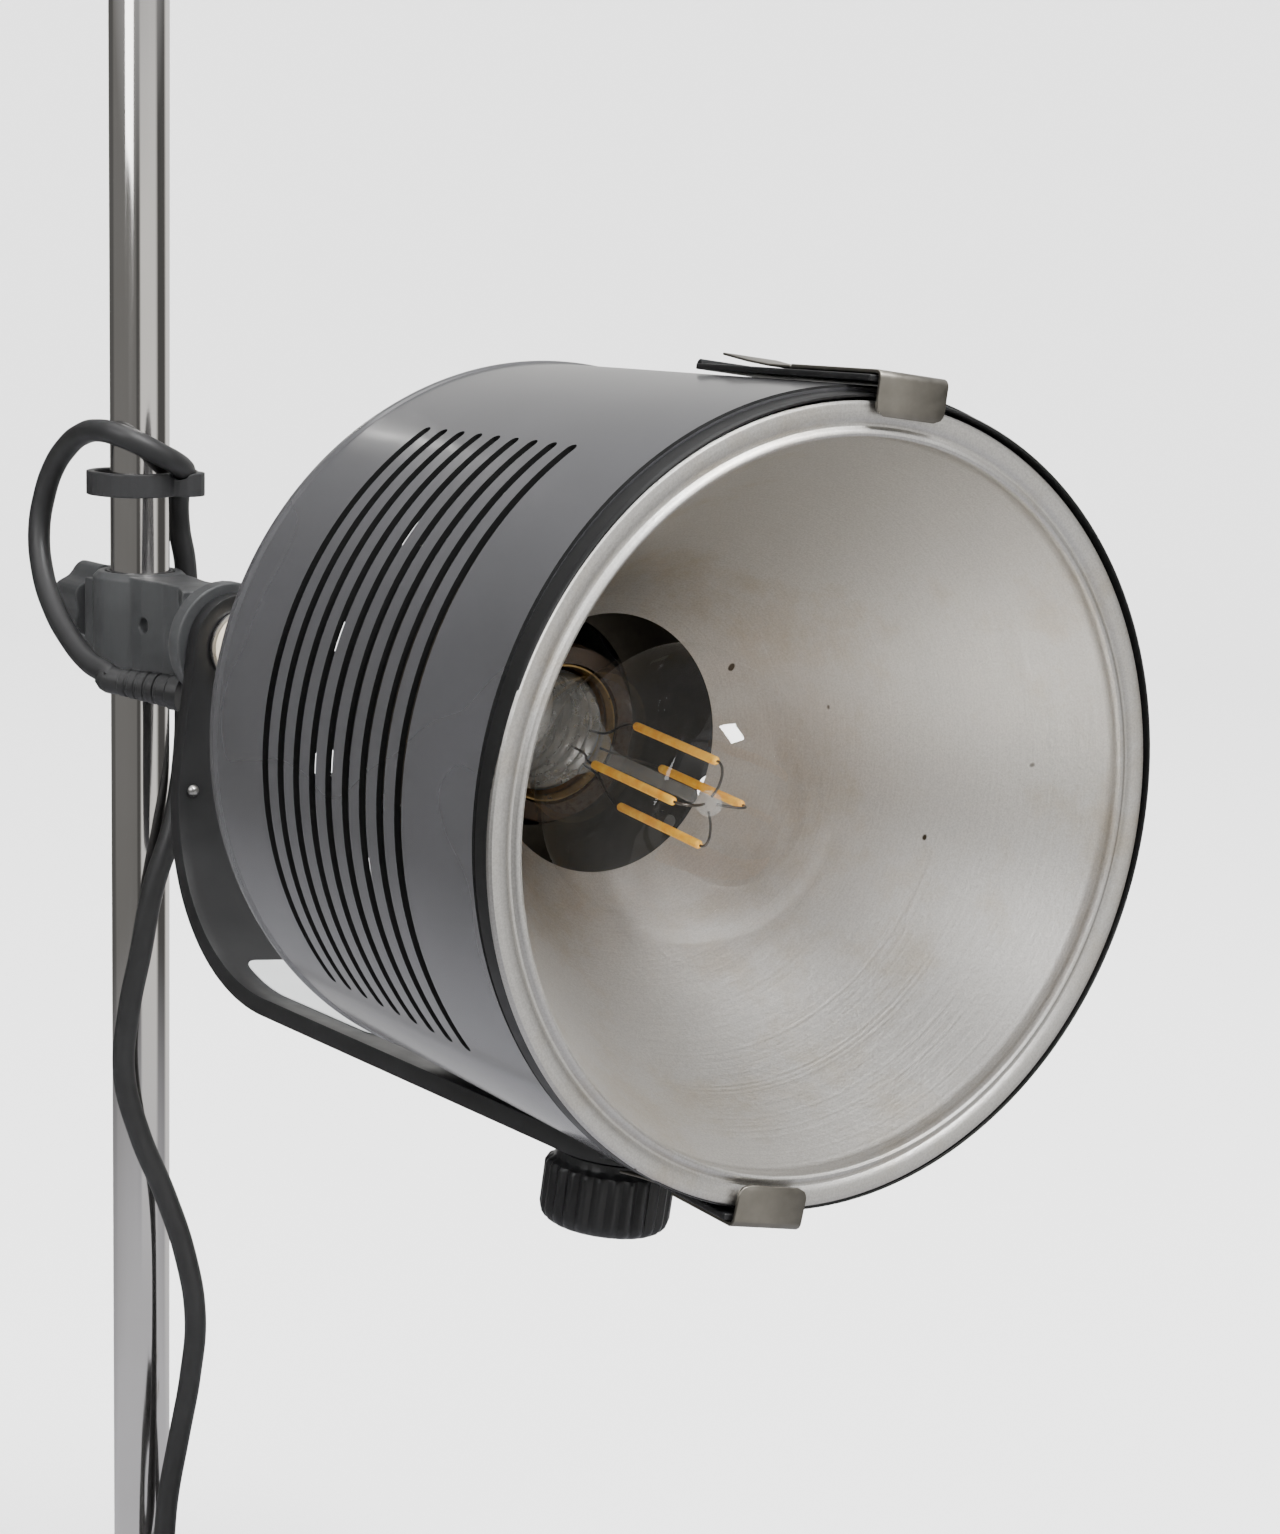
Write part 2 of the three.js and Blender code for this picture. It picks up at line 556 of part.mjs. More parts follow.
// A spring clip over the reflector's flange: a bar on the shade, a steel hook and a steel tab on top of it.
// It is built at the top and turned round the lamp's axis; the bar's rear end is where it flexes.
function addClip(group, name, angle, rear) {
  const clip = new THREE.Group();
  clip.rotation.y = angle;
  group.add(clip);
  const base = SHADE_R + 0.4;
  const top = base + CLIP_THICKNESS + GAP;
  const half = CLIP_WIDTH / 2;
  const bar = join(
    box(-half, half, CLIP_FRONT, rear, base, base + CLIP_THICKNESS),
    moved(alongX(rodAlongY(1, -half, half, 12)), 0, rear - 1, base + 1),
  );
  piece(clip, `${name}_bar`, bar, 'black');
  const tabFront = rear - 4 - (rear - CLIP_FRONT) * 0.42;
  const hook = slabAlongX(clipHook(top, tabFront - 2), CLIP_WIDTH - 2.5);
  piece(clip, `${name}_hook`, hook, 'steel');
  piece(clip, `${name}_tab`, box(-half + 2, half - 2, tabFront, rear - 4, top, top + 0.6), 'steel');
}

function clipHook(top, rear) {
  // A strip along the bar that folds down in front of the flange.
  const thickness = 0.7;
  const front = CLIP_FRONT - 1.5;
  const low = 69.6;
  return flatShape([
    [rear, top], [rear, top + thickness], [front + 1, top + thickness], [front, top], [front, low],
    [front + thickness, low - 0.6], [front + thickness, top - 0.4], [front + thickness + 0.4, top]]);
}

// ---- lamp bulb and holder: origin on the holder's tilt point, bulb towards -Y ----
const GLOBE_Y = -4.1 - HOLDER_PIVOT;

function addBulb(group) {
  const wall = 0.8;
  const neck = [[28.9, 8], [25.1, 17], [19.2, 27], [15.4, 36], [13.2, 45], [12.9, 50]];
  const dome = [];
  const innerDome = [];
  const steps = 7;
  for (let i = 0; i <= steps; i += 1) {
    const angle = (Math.PI / 2) * (i / steps);
    dome.push([GLOBE_R * Math.sin(angle), -GLOBE_R * Math.cos(angle)]);
    innerDome.push([(GLOBE_R - wall) * Math.sin(angle), -(GLOBE_R - wall) * Math.cos(angle)]);
  }
  const outer = [...dome, ...neck];
  const inner = [...innerDome, ...neck.map(([r, y]) => [r - wall, y])].reverse();
  const shell = [...outer, ...inner].map(([r, y]) => [r < 1e-9 ? 0 : r, y + GLOBE_Y]);
  piece(group, 'bulb_glass', turned(shell, 28), 'glass');

  const cap = [];
  for (let i = 0; i <= 4; i += 1) {
    cap.push([13.1, 53 + i * 4.2 - 1], [12.1, 53 + i * 4.2 + 1]);
  }
  const threaded = [[0, 50.5], [13.4, 50.5], ...cap, [9, 73.2], [0, 73.2]];
  piece(group, 'bulb_cap', turned(threaded, 20).translate(0, GLOBE_Y, 0), 'steel');
  const contact = turned([[0, 73.5], [5.2, 73.5], [4, 75.3], [0, 75.6]], 20).translate(0, GLOBE_Y, 0);
  piece(group, 'bulb_contact', contact, 'brass');
  const bead = arcPoints(0, -7, 3, -Math.PI / 2, 0.6, 5).map(([r, y]) => [Math.max(r, 0), y]);
  bead[0][0] = 0;
  const stem = [...bead, [1.6, -3.4], [1.9, 26], [4.6, 36], [8, 42], [9.5, 50.2], [0, 50.2]];
  piece(group, 'bulb_stem', turned(stem, 20).translate(0, GLOBE_Y, 0), 'glass');
  const strips = [[0, 1], [1, 0], [0, -1], [-1, 0]];
  strips.forEach(([x, z], i) => {
    const rod = rodAlongY(0.9, -7, 21.5, 10);
    piece(group, `filament_${i + 1}`, moved(rod, x * 8.5, GLOBE_Y, z * 8.5), 'filament');
  });
}

function addLampHolder(group) {
  const start = GLOBE_Y + 47.2;
  const end = GLOBE_Y + 84;
  const cup = [
    [0, end - 5], [15.4, end - 5], [15.4, start], [19.4, start], [19.4, end - 3], [16.4, end], [0, end],
  ];
  piece(group, 'lamp_holder', turned(cup, 32), 'black');
  piece(group, 'holder_shell', tubeAlongY(14, 15, start + 1, GLOBE_Y + 74, 40), 'brass');
  piece(group, 'holder_contact', rodAlongY(4.5, GLOBE_Y + 76, GLOBE_Y + 78.6, 20), 'brass');
}

// ---- assembly ----
const lamp = new THREE.Group();
addPole(lamp);

const atPivot = new THREE.Group();
atPivot.position.z = AXIS_HEIGHT;
lamp.add(atPivot);
const linerHalf = CLAMP_HEIGHT / 2;
const liner = alongZ(tubeAlongY(POLE_R + GAP, POLE_R + 1, -linerHalf, linerHalf, 36));
piece(atPivot, 'clamp_liner', liner, 'black');
addClampBody(atPivot);
addClampScrew(atPivot);
addPivot(atPivot);
addCableRing(atPivot);
addLead(atPivot);

const yoke = new THREE.Group();
yoke.rotation.y = YOKE_ROLL;
atPivot.add(yoke);
addYoke(yoke);
addYokeKnob(yoke);

const head = new THREE.Group();
head.position.y = KNOB_Y;
head.rotation.z = HEAD_PAN;
yoke.add(head);
addShade(head);
addRearCover(head);
addHolder(head);
addReflector(head);
addFrontRing(head);
addKnobNut(head);
addClip(head, 'clip_top', THREE.MathUtils.degToRad(-1.5), CLIP_TOP_REAR);
addClip(head, 'clip_bottom', THREE.MathUtils.degToRad(184.8), CLIP_BOTTOM_REAR);

const holder = new THREE.Group();
holder.position.y = HOLDER_PIVOT;
holder.rotation.set(BULB_TILT, 0, BULB_TURN);
head.add(holder);
addBulb(holder);
addLampHolder(holder);

export default lamp;
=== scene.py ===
import json
import math

import bmesh
import bpy
from mathutils import Matrix, Vector

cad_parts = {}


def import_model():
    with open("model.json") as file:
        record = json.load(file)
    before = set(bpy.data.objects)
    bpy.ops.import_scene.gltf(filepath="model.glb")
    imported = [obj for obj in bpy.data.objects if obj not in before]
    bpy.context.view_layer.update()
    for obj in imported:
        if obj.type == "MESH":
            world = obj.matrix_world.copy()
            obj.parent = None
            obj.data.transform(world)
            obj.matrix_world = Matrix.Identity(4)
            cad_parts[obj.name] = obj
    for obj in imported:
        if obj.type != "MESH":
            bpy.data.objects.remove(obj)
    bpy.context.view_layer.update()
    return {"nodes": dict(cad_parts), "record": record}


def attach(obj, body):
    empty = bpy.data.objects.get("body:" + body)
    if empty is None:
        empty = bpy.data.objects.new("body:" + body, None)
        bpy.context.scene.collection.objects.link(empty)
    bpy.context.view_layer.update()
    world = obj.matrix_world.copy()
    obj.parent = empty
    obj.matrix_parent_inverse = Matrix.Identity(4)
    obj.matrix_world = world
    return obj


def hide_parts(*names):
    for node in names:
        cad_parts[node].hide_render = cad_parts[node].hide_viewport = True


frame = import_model()

MM = 0.001
UP = Matrix.Rotation(math.pi / 2, 4, "X")      # turns a lathe about Y into one about Z
AXIS_HEIGHT = 290
PIVOT = Matrix.Translation((0, 0, AXIS_HEIGHT))
YOKE = PIVOT @ Matrix.Rotation(math.radians(8), 4, "Y")
KNOB = YOKE @ Matrix.Translation((0, -209, 0))
HEAD = KNOB @ Matrix.Rotation(math.radians(-7), 4, "Z")
HOLDER = (HEAD @ Matrix.Translation((0, 68.8, 0)) @ Matrix.Rotation(math.radians(5.4), 4, "X")
          @ Matrix.Rotation(math.radians(2.4), 4, "Z"))
POLE_R, POLE_LENGTH = 7.5, 458
SHADE_R = 75
BOWL_OFFSET = Vector((-1.5, 0, -1))            # the reflector sits a little off the shade's centre
THREAD_PITCH = 3.6
PHOTO_HEIGHT, PHOTO_FOCAL = 1534, 2587         # pixels
COIL_CENTRE = Vector((7.6, -53.6, 0))


def in_scene(name, data):
    thing = bpy.data.objects.new(name, data)
    bpy.context.scene.collection.objects.link(thing)
    return thing


# ---------------------------------------------------------------- camera
def add_camera():
    data = bpy.data.cameras.new("camera")
    data.sensor_fit = "VERTICAL"
    data.sensor_height = 24
    data.lens = 24 * PHOTO_FOCAL / PHOTO_HEIGHT
    data.clip_start = 0.02
    camera = in_scene("camera", data)
    right = Vector((0.76315, -0.64526, 0.03561)).normalized()
    forward = Vector((0.63869, 0.74458, -0.19416)).normalized()
    up = right.cross(forward).normalized()
    right = forward.cross(up)
    turn = Matrix((right, up, -forward)).transposed().to_4x4()
    camera.matrix_world = Matrix.Translation((-0.33157, -0.58656, 0.38699)) @ turn
    bpy.context.scene.camera = camera


add_camera()


# ---------------------------------------------------------------- materials
MATERIALS = {}


class Nodes:
    """A material kept in MATERIALS, with one Principled shader and short ways to add the nodes it needs."""

    def __init__(self, name, base, roughness, metallic=0.0, **sockets):
        self.material = bpy.data.materials.new(name)
        self.material.use_nodes = True
        MATERIALS[name] = self.material
        self.tree = self.material.node_tree
        self.shader = self.tree.nodes["Principled BSDF"]
        self.shader.inputs["Base Color"].default_value = (*base, 1)
        self.shader.inputs["Roughness"].default_value = roughness
        self.shader.inputs["Metallic"].default_value = metallic
        for key, value in sockets.items():
            self.shader.inputs[key.replace("_", " ")].default_value = value
        self.coords = self.tree.nodes.new("ShaderNodeTexCoord")

    def add(self, kind, **settings):
        node = self.tree.nodes.new(kind)
        for key, value in settings.items():
            setattr(node, key, value)
        return node

    def link(self, a, b):
        self.tree.links.new(a, b)

    def stretched(self, scale, source="Object"):
        mapping = self.add("ShaderNodeMapping")
        mapping.inputs["Scale"].default_value = scale
        self.link(self.coords.outputs[source], mapping.inputs["Vector"])
        return mapping.outputs["Vector"]

    def noise(self, scale, detail=3.0, rough=0.55, vector=None):
        node = self.add("ShaderNodeTexNoise")
        node.inputs["Scale"].default_value = scale
        node.inputs["Detail"].default_value = detail
        node.inputs["Roughness"].default_value = rough
        self.link(vector if vector is not None else self.coords.outputs["Object"], node.inputs["Vector"])
        return node.outputs["Fac"]

    def ranged(self, value, low, high, to_low, to_high):
        node = self.add("ShaderNodeMapRange")
        for key, number in (("From Min", low), ("From Max", high), ("To Min", to_low), ("To Max", to_high)):
            node.inputs[key].default_value = number
        self.link(value, node.inputs["Value"])
        return node.outputs["Result"]

    def ramp(self, value, stops):
        node = self.add("ShaderNodeValToRGB")
        elements = node.color_ramp.elements
        while len(elements) < len(stops):
            elements.new(0.5)
        for element, (place, colour) in zip(elements, stops):
            element.position = place
            element.color = (*colour, 1)
        self.link(value, node.inputs["Fac"])
        return node.outputs["Color"]

    def colour(self, value):
        self.link(value, self.shader.inputs["Base Color"])
        return self

    def rough(self, value):
        self.link(value, self.shader.inputs["Roughness"])
        return self

    def bump(self, height, strength, distance):
        node = self.add("ShaderNodeBump")
        node.inputs["Strength"].default_value = strength
        node.inputs["Distance"].default_value = distance
        self.link(height, node.inputs["Height"])
        previous = self.shader.inputs["Normal"].links
        if previous:
            self.link(previous[0].from_socket, node.inputs["Normal"])
        self.link(node.outputs["Normal"], self.shader.inputs["Normal"])
        return self


def shades(base, spread):
    """Darker and lighter ends of a colour's small natural variation."""
    return [tuple(c * (1 - spread) for c in base), tuple(min(1, c * (1 + spread)) for c in base)]


def moulded(name, base, roughness, grain=900, spread=0.12, depth=0.00004, **sockets):
    n = Nodes(name, base, roughness, **sockets)
    low, high = shades(base, spread)
    n.colour(n.ramp(n.noise(45, 5), [(0.3, low), (0.7, high)]))
    n.rough(n.ranged(n.noise(120, 4), 0.3, 0.7, roughness * 0.85, roughness * 1.15))
    n.bump(n.noise(grain, 3), 0.25, depth)


def chrome():
    n = Nodes("pole_chrome", (0.80, 0.78, 0.755), 0.08, 1.0)
    n.colour(n.ramp(n.noise(14, 5), [(0.35, (0.76, 0.74, 0.71)), (0.7, (0.84, 0.82, 0.80))]))
    streaks = n.noise(1.0, 4, vector=n.stretched((900, 900, 12)))
    n.rough(n.ranged(streaks, 0.3, 0.75, 0.05, 0.16))
    n.bump(streaks, 0.05, 0.00002)


def plated(name, base, roughness):
    n = Nodes(name, base, roughness, 1.0)
    low, high = shades(base, 0.14)
    n.colour(n.ramp(n.noise(160, 5), [(0.3, low), (0.7, high)]))
    n.rough(n.ranged(n.noise(400, 4), 0.3, 0.7, roughness * 0.75, roughness * 1.25))
    n.bump(n.noise(1500, 2), 0.15, 0.00003)


def shade_paint():
    n = Nodes("shade_paint", (0.034, 0.034, 0.036), 0.3, 0.0, Specular_IOR_Level=0.62)
    n.shader.inputs["Coat Weight"].default_value = 0.35
    n.shader.inputs["Coat Roughness"].default_value = 0.12
    n.colour(n.ramp(n.noise(30, 6), [(0.3, (0.032, 0.032, 0.034)), (0.72, (0.037, 0.037, 0.040))]))
    n.rough(n.ranged(n.noise(12, 2), 0.25, 0.75, 0.24, 0.31))
    n.bump(n.noise(520, 2), 0.06, 0.00004)


def spun_aluminium():
    n = Nodes("spun_aluminium", (0.70, 0.685, 0.66), 0.45, 1.0)
    rings = n.noise(1.0, 4, 0.7, vector=n.stretched((0.0, 1.6, 0.0), "UV"))
    fine = n.noise(1.0, 3, 0.6, vector=n.stretched((0.0, 7.0, 0.0), "UV"))
    grain = n.noise(2600, 2, 0.6)
    low, high = (0.57, 0.555, 0.53), (0.72, 0.705, 0.675)
    mixed = n.add("ShaderNodeMix", data_type="RGBA")
    mixed.inputs["Factor"].default_value = 0.35
    n.link(n.ramp(rings, [(0.3, low), (0.7, high)]), mixed.inputs["A"])
    n.link(n.ramp(grain, [(0.35, (0.52, 0.505, 0.48)), (0.65, (0.86, 0.845, 0.82))]), mixed.inputs["B"])
    tarnish = n.add("ShaderNodeMix", data_type="RGBA", blend_type="MULTIPLY")
    n.link(n.ranged(n.noise(26, 6, 0.7), 0.52, 0.78, 0, 0.8), tarnish.inputs["Factor"])
    n.link(mixed.outputs["Result"], tarnish.inputs["A"])
    tarnish.inputs["B"].default_value = (0.80, 0.71, 0.56, 1)
    specks = n.add("ShaderNodeMix", data_type="RGBA")
    n.link(n.ranged(n.noise(170, 1), 0.800, 0.815, 0, 1), specks.inputs["Factor"])
    n.link(tarnish.outputs["Result"], specks.inputs["A"])
    specks.inputs["B"].default_value = (0.06, 0.045, 0.03, 1)
    n.colour(specks.outputs["Result"])
    n.rough(n.ranged(rings, 0.3, 0.7, 0.34, 0.50))
    n.bump(fine, 0.35, 0.00012)
    n.bump(n.noise(700, 2), 0.30, 0.00016)
    n.bump(grain, 0.25, 0.00006)


def thin_glass():
    n = Nodes("bulb_glass", (1, 1, 1), 0.015, 1.0)
    edge = n.add("ShaderNodeLayerWeight")
    edge.inputs["Blend"].default_value = 0.5
    curve = n.ramp(edge.outputs["Facing"], [(0.0, (0.045,) * 3), (0.55, (0.055,) * 3), (0.8, (0.12,) * 3),
                                            (0.93, (0.26,) * 3), (1.0, (0.5,) * 3)])
    film = n.ranged(n.noise(55, 3), 0.35, 0.75, 0.95, 1.25)
    product = n.add("ShaderNodeMath", operation="MULTIPLY", use_clamp=True)
    n.link(curve, product.inputs[0])
    n.link(film, product.inputs[1])
    n.link(product.outputs["Value"], n.shader.inputs["Alpha"])


def stem_glass():
    n = Nodes("stem_glass", (0.86, 0.87, 0.85), 0.06, 0.0)
    facing = n.add("ShaderNodeLayerWeight")
    facing.inputs["Blend"].default_value = 0.35
    n.link(n.ramp(facing.outputs["Facing"], [(0, (0.06,) * 3), (0.6, (0.12,) * 3), (1, (0.5,) * 3)]),
           n.shader.inputs["Alpha"])


def filament_coating():
    n = Nodes("filament_coating", (0.75, 0.33, 0.02), 0.55)
    n.colour(n.ramp(n.noise(420, 4), [(0.3, (0.84, 0.34, 0.015)), (0.7, (0.98, 0.56, 0.06))]))
    n.rough(n.ranged(n.noise(900, 3), 0.3, 0.7, 0.42, 0.68))
    n.bump(n.noise(1400, 3), 0.5, 0.0001)


chrome()
moulded("plug_plastic", (0.014, 0.014, 0.015), 0.5)
moulded("clamp_plastic", (0.028, 0.029, 0.030), 0.5, 700, Specular_IOR_Level=0.4)
moulded("knob_plastic", (0.006, 0.006, 0.0065), 0.36, Specular_IOR_Level=0.4)
moulded("cream_plastic", (0.62, 0.55, 0.43), 0.4, 500, 0.06)
plated("small_steel", (0.52, 0.51, 0.49), 0.3)
plated("clip_steel", (0.25, 0.235, 0.205), 0.4)
moulded("lead_rubber", (0.010, 0.010, 0.0105), 0.5, 1400, 0.15)
moulded("arm_paint", (0.008, 0.008, 0.0085), 0.38, 600, 0.15, 0.00006)
shade_paint()
moulded("label_film", (0.70, 0.72, 0.72), 0.45, 300, 0.05)
spun_aluminium()
plated("holder_brass", (0.56, 0.38, 0.16), 0.35)
thin_glass()
stem_glass()
filament_coating()
moulded("holder_ceramic", (0.030, 0.018, 0.010), 0.22, 500)
# Painted shade: a matt black for faces inside the head that lie in shadow, not a finish the parts have.
moulded("painted_shade_black", (0.004, 0.004, 0.004), 0.8, 700, Specular_IOR_Level=0.15)
moulded("bezel_black", (0.006, 0.006, 0.006), 0.4, 700, Specular_IOR_Level=0.3)
# Painted shade: a much darker steel for the holder's bracket plate, which lies in shadow deep in the hole.
plated("painted_shade_steel", (0.065, 0.058, 0.046), 0.5)
plated("wire", (0.10, 0.09, 0.08), 0.35)


# ---------------------------------------------------------------- shapes
def smoothed(mesh, sharp):
    """Smooth shading that breaks at edges sharper than the angle."""
    for polygon in mesh.polygons:
        polygon.use_smooth = True
    mesh.set_sharp_from_angle(angle=math.radians(sharp))


def finish_mesh(name, mesh, body, slot, replaced=(), material=None, sharp=35):
    mesh.materials.clear()
    mesh.materials.append(MATERIALS[material or slot])
    smoothed(mesh, sharp)
    thing = in_scene(name, mesh)
    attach(thing, body)
    if replaced:
        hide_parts(*replaced)
    return thing


def as_mesh(name, shape, place):
    """A bmesh in millimetres, or a mesh, brought to metres in its place."""
    if isinstance(shape, bmesh.types.BMesh):
        bmesh.ops.recalc_face_normals(shape, faces=shape.faces)
        mesh = bpy.data.meshes.new(name)
        shape.to_mesh(mesh)
        shape.free()
    else:
        mesh = shape
    mesh.transform(Matrix.Scale(MM, 4) @ place)
    return mesh


def piece(name, shape, place, body, slot, replaced=(), material=None, sharp=35):
    return finish_mesh(name, as_mesh(name, shape, place), body, slot, replaced, material, sharp)


def polar(radius, degrees):
    return radius * math.cos(math.radians(degrees)), radius * math.sin(math.radians(degrees))


def circle(radius, steps):
    return [polar(radius, 360 * i / steps) for i in range(steps)]


def ball_profile(radius, centre_y, angles):
    """Points of a half circle from its front pole back, as (r, y)."""
    points = [(s, centre_y - c) for c, s in (polar(radius, a) for a in angles)]
    points[0] = (0, centre_y - radius)
    return points


def rounded(points, radius, steps=4, closed=True):
    """The outline with each corner turned into an arc; radius may be a number or one per corner."""
    out = []
    count = len(points)
    for i, here in enumerate(points):
        r = radius[i] if isinstance(radius, (list, tuple)) else radius
        if not closed and i in (0, count - 1) or r <= 0:
            out.append(tuple(here))
            continue
        p = Vector(here)
        a = Vector(points[i - 1]) - p
        b = Vector(points[(i + 1) % count]) - p
        angle = a.angle(b)
        if angle > math.radians(176):
            out.append(tuple(here))
            continue
        reach = min(r / math.tan(angle / 2), a.length * 0.48, b.length * 0.48)
        r = reach * math.tan(angle / 2)
        middle = (a.normalized() + b.normalized()).normalized()
        centre = p + middle * (r / math.sin(angle / 2))
        start = p + a.normalized() * reach - centre
        end = p + b.normalized() * reach - centre
        turn = start.angle_signed(end) if start.length > 1e-9 else 0
        for k in range(steps + 1):
            t = -turn * k / steps
            c, s = math.cos(t), math.sin(t)
            out.append((centre.x + start.x * c - start.y * s, centre.y + start.x * s + start.y * c))
    return out


def lathe(profile, segments=96, closed=True):
    """Profile of (radius, y) turned about Y, with UVs of angle and distance along the profile."""
    shape = bmesh.new()
    uv = shape.loops.layers.uv.new("UVMap")
    rings = []
    lengths = [0.0]
    for a, b in zip(profile, profile[1:] + profile[:1]):
        lengths.append(lengths[-1] + math.dist(a, b))
    for r, y in profile:
        if r < 1e-6:
            rings.append([shape.verts.new((0, y, 0))])
            continue
        rings.append([shape.verts.new((x, y, z)) for x, z in circle(r, segments)])
    count = len(profile)
    for k in range(count if closed else count - 1):
        low, high = rings[k], rings[(k + 1) % count]
        if len(low) == 1 and len(high) == 1:
            continue
        for i in range(segments):
            j = (i + 1) % segments
            corners = [(low[i % len(low)], i, k), (low[j % len(low)], i + 1, k),
                       (high[j % len(high)], i + 1, k + 1), (high[i % len(high)], i, k + 1)]
            used = []
            for corner in corners:
                if all(corner[0] is not other[0] for other in used):
                    used.append(corner)
            face = shape.faces.new([c[0] for c in used])
            for loop, corner in zip(face.loops, used):
                loop[uv].uv = (corner[1] / segments, lengths[corner[2]])
    return shape


def turned(name, profile, segments, place, body, slot, replaced=(), material=None):
    """A solid turned about Y, whose profile starts and ends on the axis."""
    return piece(name, lathe(profile, segments, closed=False), place, body, slot, replaced, material)


def slab(outline, low, high, holes=()):
    """Outline in (x, y) given thickness from low to high along z."""
    shape = bmesh.new()
    loops = []
    for ring in [outline, *holes]:
        verts = [shape.verts.new((x, y, low)) for x, y in ring]
        loops.append([shape.edges.new((verts[i], verts[(i + 1) % len(verts)])) for i in range(len(verts))])
    bmesh.ops.triangle_fill(shape, use_beauty=True, use_dissolve=False,
                            edges=[edge for ring in loops for edge in ring])
    made = bmesh.ops.extrude_face_region(shape, geom=list(shape.faces))
    bmesh.ops.translate(shape, vec=(0, 0, high - low),
                        verts=[item for item in made["geom"] if isinstance(item, bmesh.types.BMVert)])
    return shape


def block(x0, x1, y0, y1, z0, z1):
    shape = bmesh.new()
    made = bmesh.ops.create_cube(shape, size=1)
    for vert in made["verts"]:
        vert.co = Vector((x0 + (vert.co.x + 0.5) * (x1 - x0), y0 + (vert.co.y + 0.5) * (y1 - y0),
                          z0 + (vert.co.z + 0.5) * (z1 - z0)))
    return shape


def drills(holes, segments):
    """Rods 10 mm long along Y, one for each (x, y, z) middle and radius, as one mesh to cut with."""
    shape = bmesh.new()
    for middle, radius in holes:
        made = bmesh.ops.create_cone(shape, cap_ends=True, segments=segments, radius1=radius, radius2=radius,
                                     depth=10)
        bmesh.ops.transform(shape, verts=made["verts"], matrix=Matrix.Translation(middle) @ UP)
    return shape


def with_modifiers(thing, *modifiers):
    """Modifiers are applied, so that the piece holds its final mesh."""
    for kind, settings in modifiers:
        modifier = thing.modifiers.new(kind.lower(), kind)
        for key, value in settings.items():
            setattr(modifier, key, value)
    deps = bpy.context.evaluated_depsgraph_get()
    mesh = bpy.data.meshes.new_from_object(thing.evaluated_get(deps))
    thing.modifiers.clear()
    old = thing.data
    thing.data = mesh
    bpy.data.meshes.remove(old)
    return thing


def bevelled(thing, width, segments=3, angle=40):
    with_modifiers(thing, ("BEVEL", {"width": width * MM, "segments": segments, "limit_method": "ANGLE",
                                     "angle_limit": math.radians(angle), "harden_normals": False}))
    smoothed(thing.data, 50)
    return thing


def softened(name, node, body, slot, voxel, smooth, material=None):
    """A moulded piece: the node's own solid with every edge rounded a little."""
    mesh = frame["nodes"][node].data.copy()
    mesh.name = name
    thing = finish_mesh(name, mesh, body, slot, (node,), material)
    with_modifiers(thing, ("REMESH", {"mode": "VOXEL", "voxel_size": voxel * MM, "use_smooth_shade": True}),
                   ("SMOOTH", {"factor": 0.5, "iterations": smooth}))
    return thing


# ---------------------------------------------------------------- cord
ROUTE = [
    (-18.4, -17, -11.3), (-19.2, -8, -8.2), (-19.2, 1.5, -3.6), (-18.4, 12, 3.2), (-17.2, 20, 11.5),
    (-15.6, 24.6, 21.5), (-14, 24.8, 30), (-12.8, 22, 37.5), (-12, 16, 43.5), (-11.8, 8, 47.4),
    (-11.4, 0, 48.8), (-9.8, -6.4, 48.2), (-6.2, -10, 46.4), (-1.4, -11.6, 43.8), (4.2, -10.6, 41.2),
    (8.6, -7.4, 38.8), (10.9, -2.6, 36), (11.8, 1, 31), (13, 2.6, 23), (15.2, 3.4, 14), (16, 3.6, 0),
    (14.6, 2, -19), (10, -5, -35), (3.6, -10.4, -52.5), (-2.6, -10.8, -69), (-5.6, -10, -85.2),
    (-8.2, -8.1, -102), (-9.2, -7.4, -118.5), (-6.2, -10.2, -135), (-0.8, -14, -151.8), (3.4, -17.2, -168.5),
    (5.6, -18.8, -185.9), (5, -17.4, -203), (3, -15, -221.1), (0.6, -13, -240), (-1, -13.6, -253),
    (-3.8, -16.8, -261.5), (-8.8, -22.4, -266), (-15.2, -30, -267.4), (-20.4, -38.4, -267.2),
]
GLAND_START = Vector((-7.6, -34.5, -13.4))
GLAND_AIM = Vector((-0.52, 0.85, 0.09)).normalized()
GLAND_LENGTH = 20
CORD_D = 5.8
PLUG_TURN = math.radians(-70)
PLUG_PLACE = (Matrix.Translation(COIL_CENTRE + Vector((0, 0, 26.3))) @ Matrix.Rotation(PLUG_TURN, 4, "Z")
              @ Matrix.Translation((28, 17, 0)))


def coil_points():
    """Turns from the lead's landing on the coil's top round to the plug, as angle, radius and height."""
    rows = [(168, 33.4, 21.2), (184, 34.8, 18.2), (200, 35.2, 16.4)]
    turns = [(35.2, 16), (37.9, 10.2), (37.9, 4.4), (32.1, 4.4), (26.3, 4.4), (26.3, 10.2), (32.1, 10.2),
             (29.3, 16)]
    per_turn = 16
    for k, (r, z) in enumerate(turns):
        r2, z2 = turns[k + 1] if k + 1 < len(turns) else (r, z)
        first = 222 + 360 * k
        for i in range(per_turn):
            angle = first + 360 * i / per_turn
            ease = max(0.0, (i - (per_turn - 4)) / 4)
            ease = ease * ease * (3 - 2 * ease)
            if k == len(turns) - 1 and i > per_turn - 3:
                break
            rows.append((angle, r + (r2 - r) * ease, z + (z2 - z) * ease))
    return rows


def cord_points():
    start = GLAND_START + GLAND_AIM * (GLAND_LENGTH - 6)
    points = [PIVOT @ start, PIVOT @ (start + GLAND_AIM * 7.5)]
    points += [PIVOT @ Vector(p) for p in ROUTE]
    for angle, r, z in coil_points():
        a = math.radians(angle)
        points.append(COIL_CENTRE + Vector((r * math.cos(a), r * math.sin(a), z)))
    relief = PLUG_PLACE @ Vector((0, -27, 0))
    before = PLUG_PLACE @ Vector((-2.6, -38, -1.2))
    points += [before, relief]
    return points


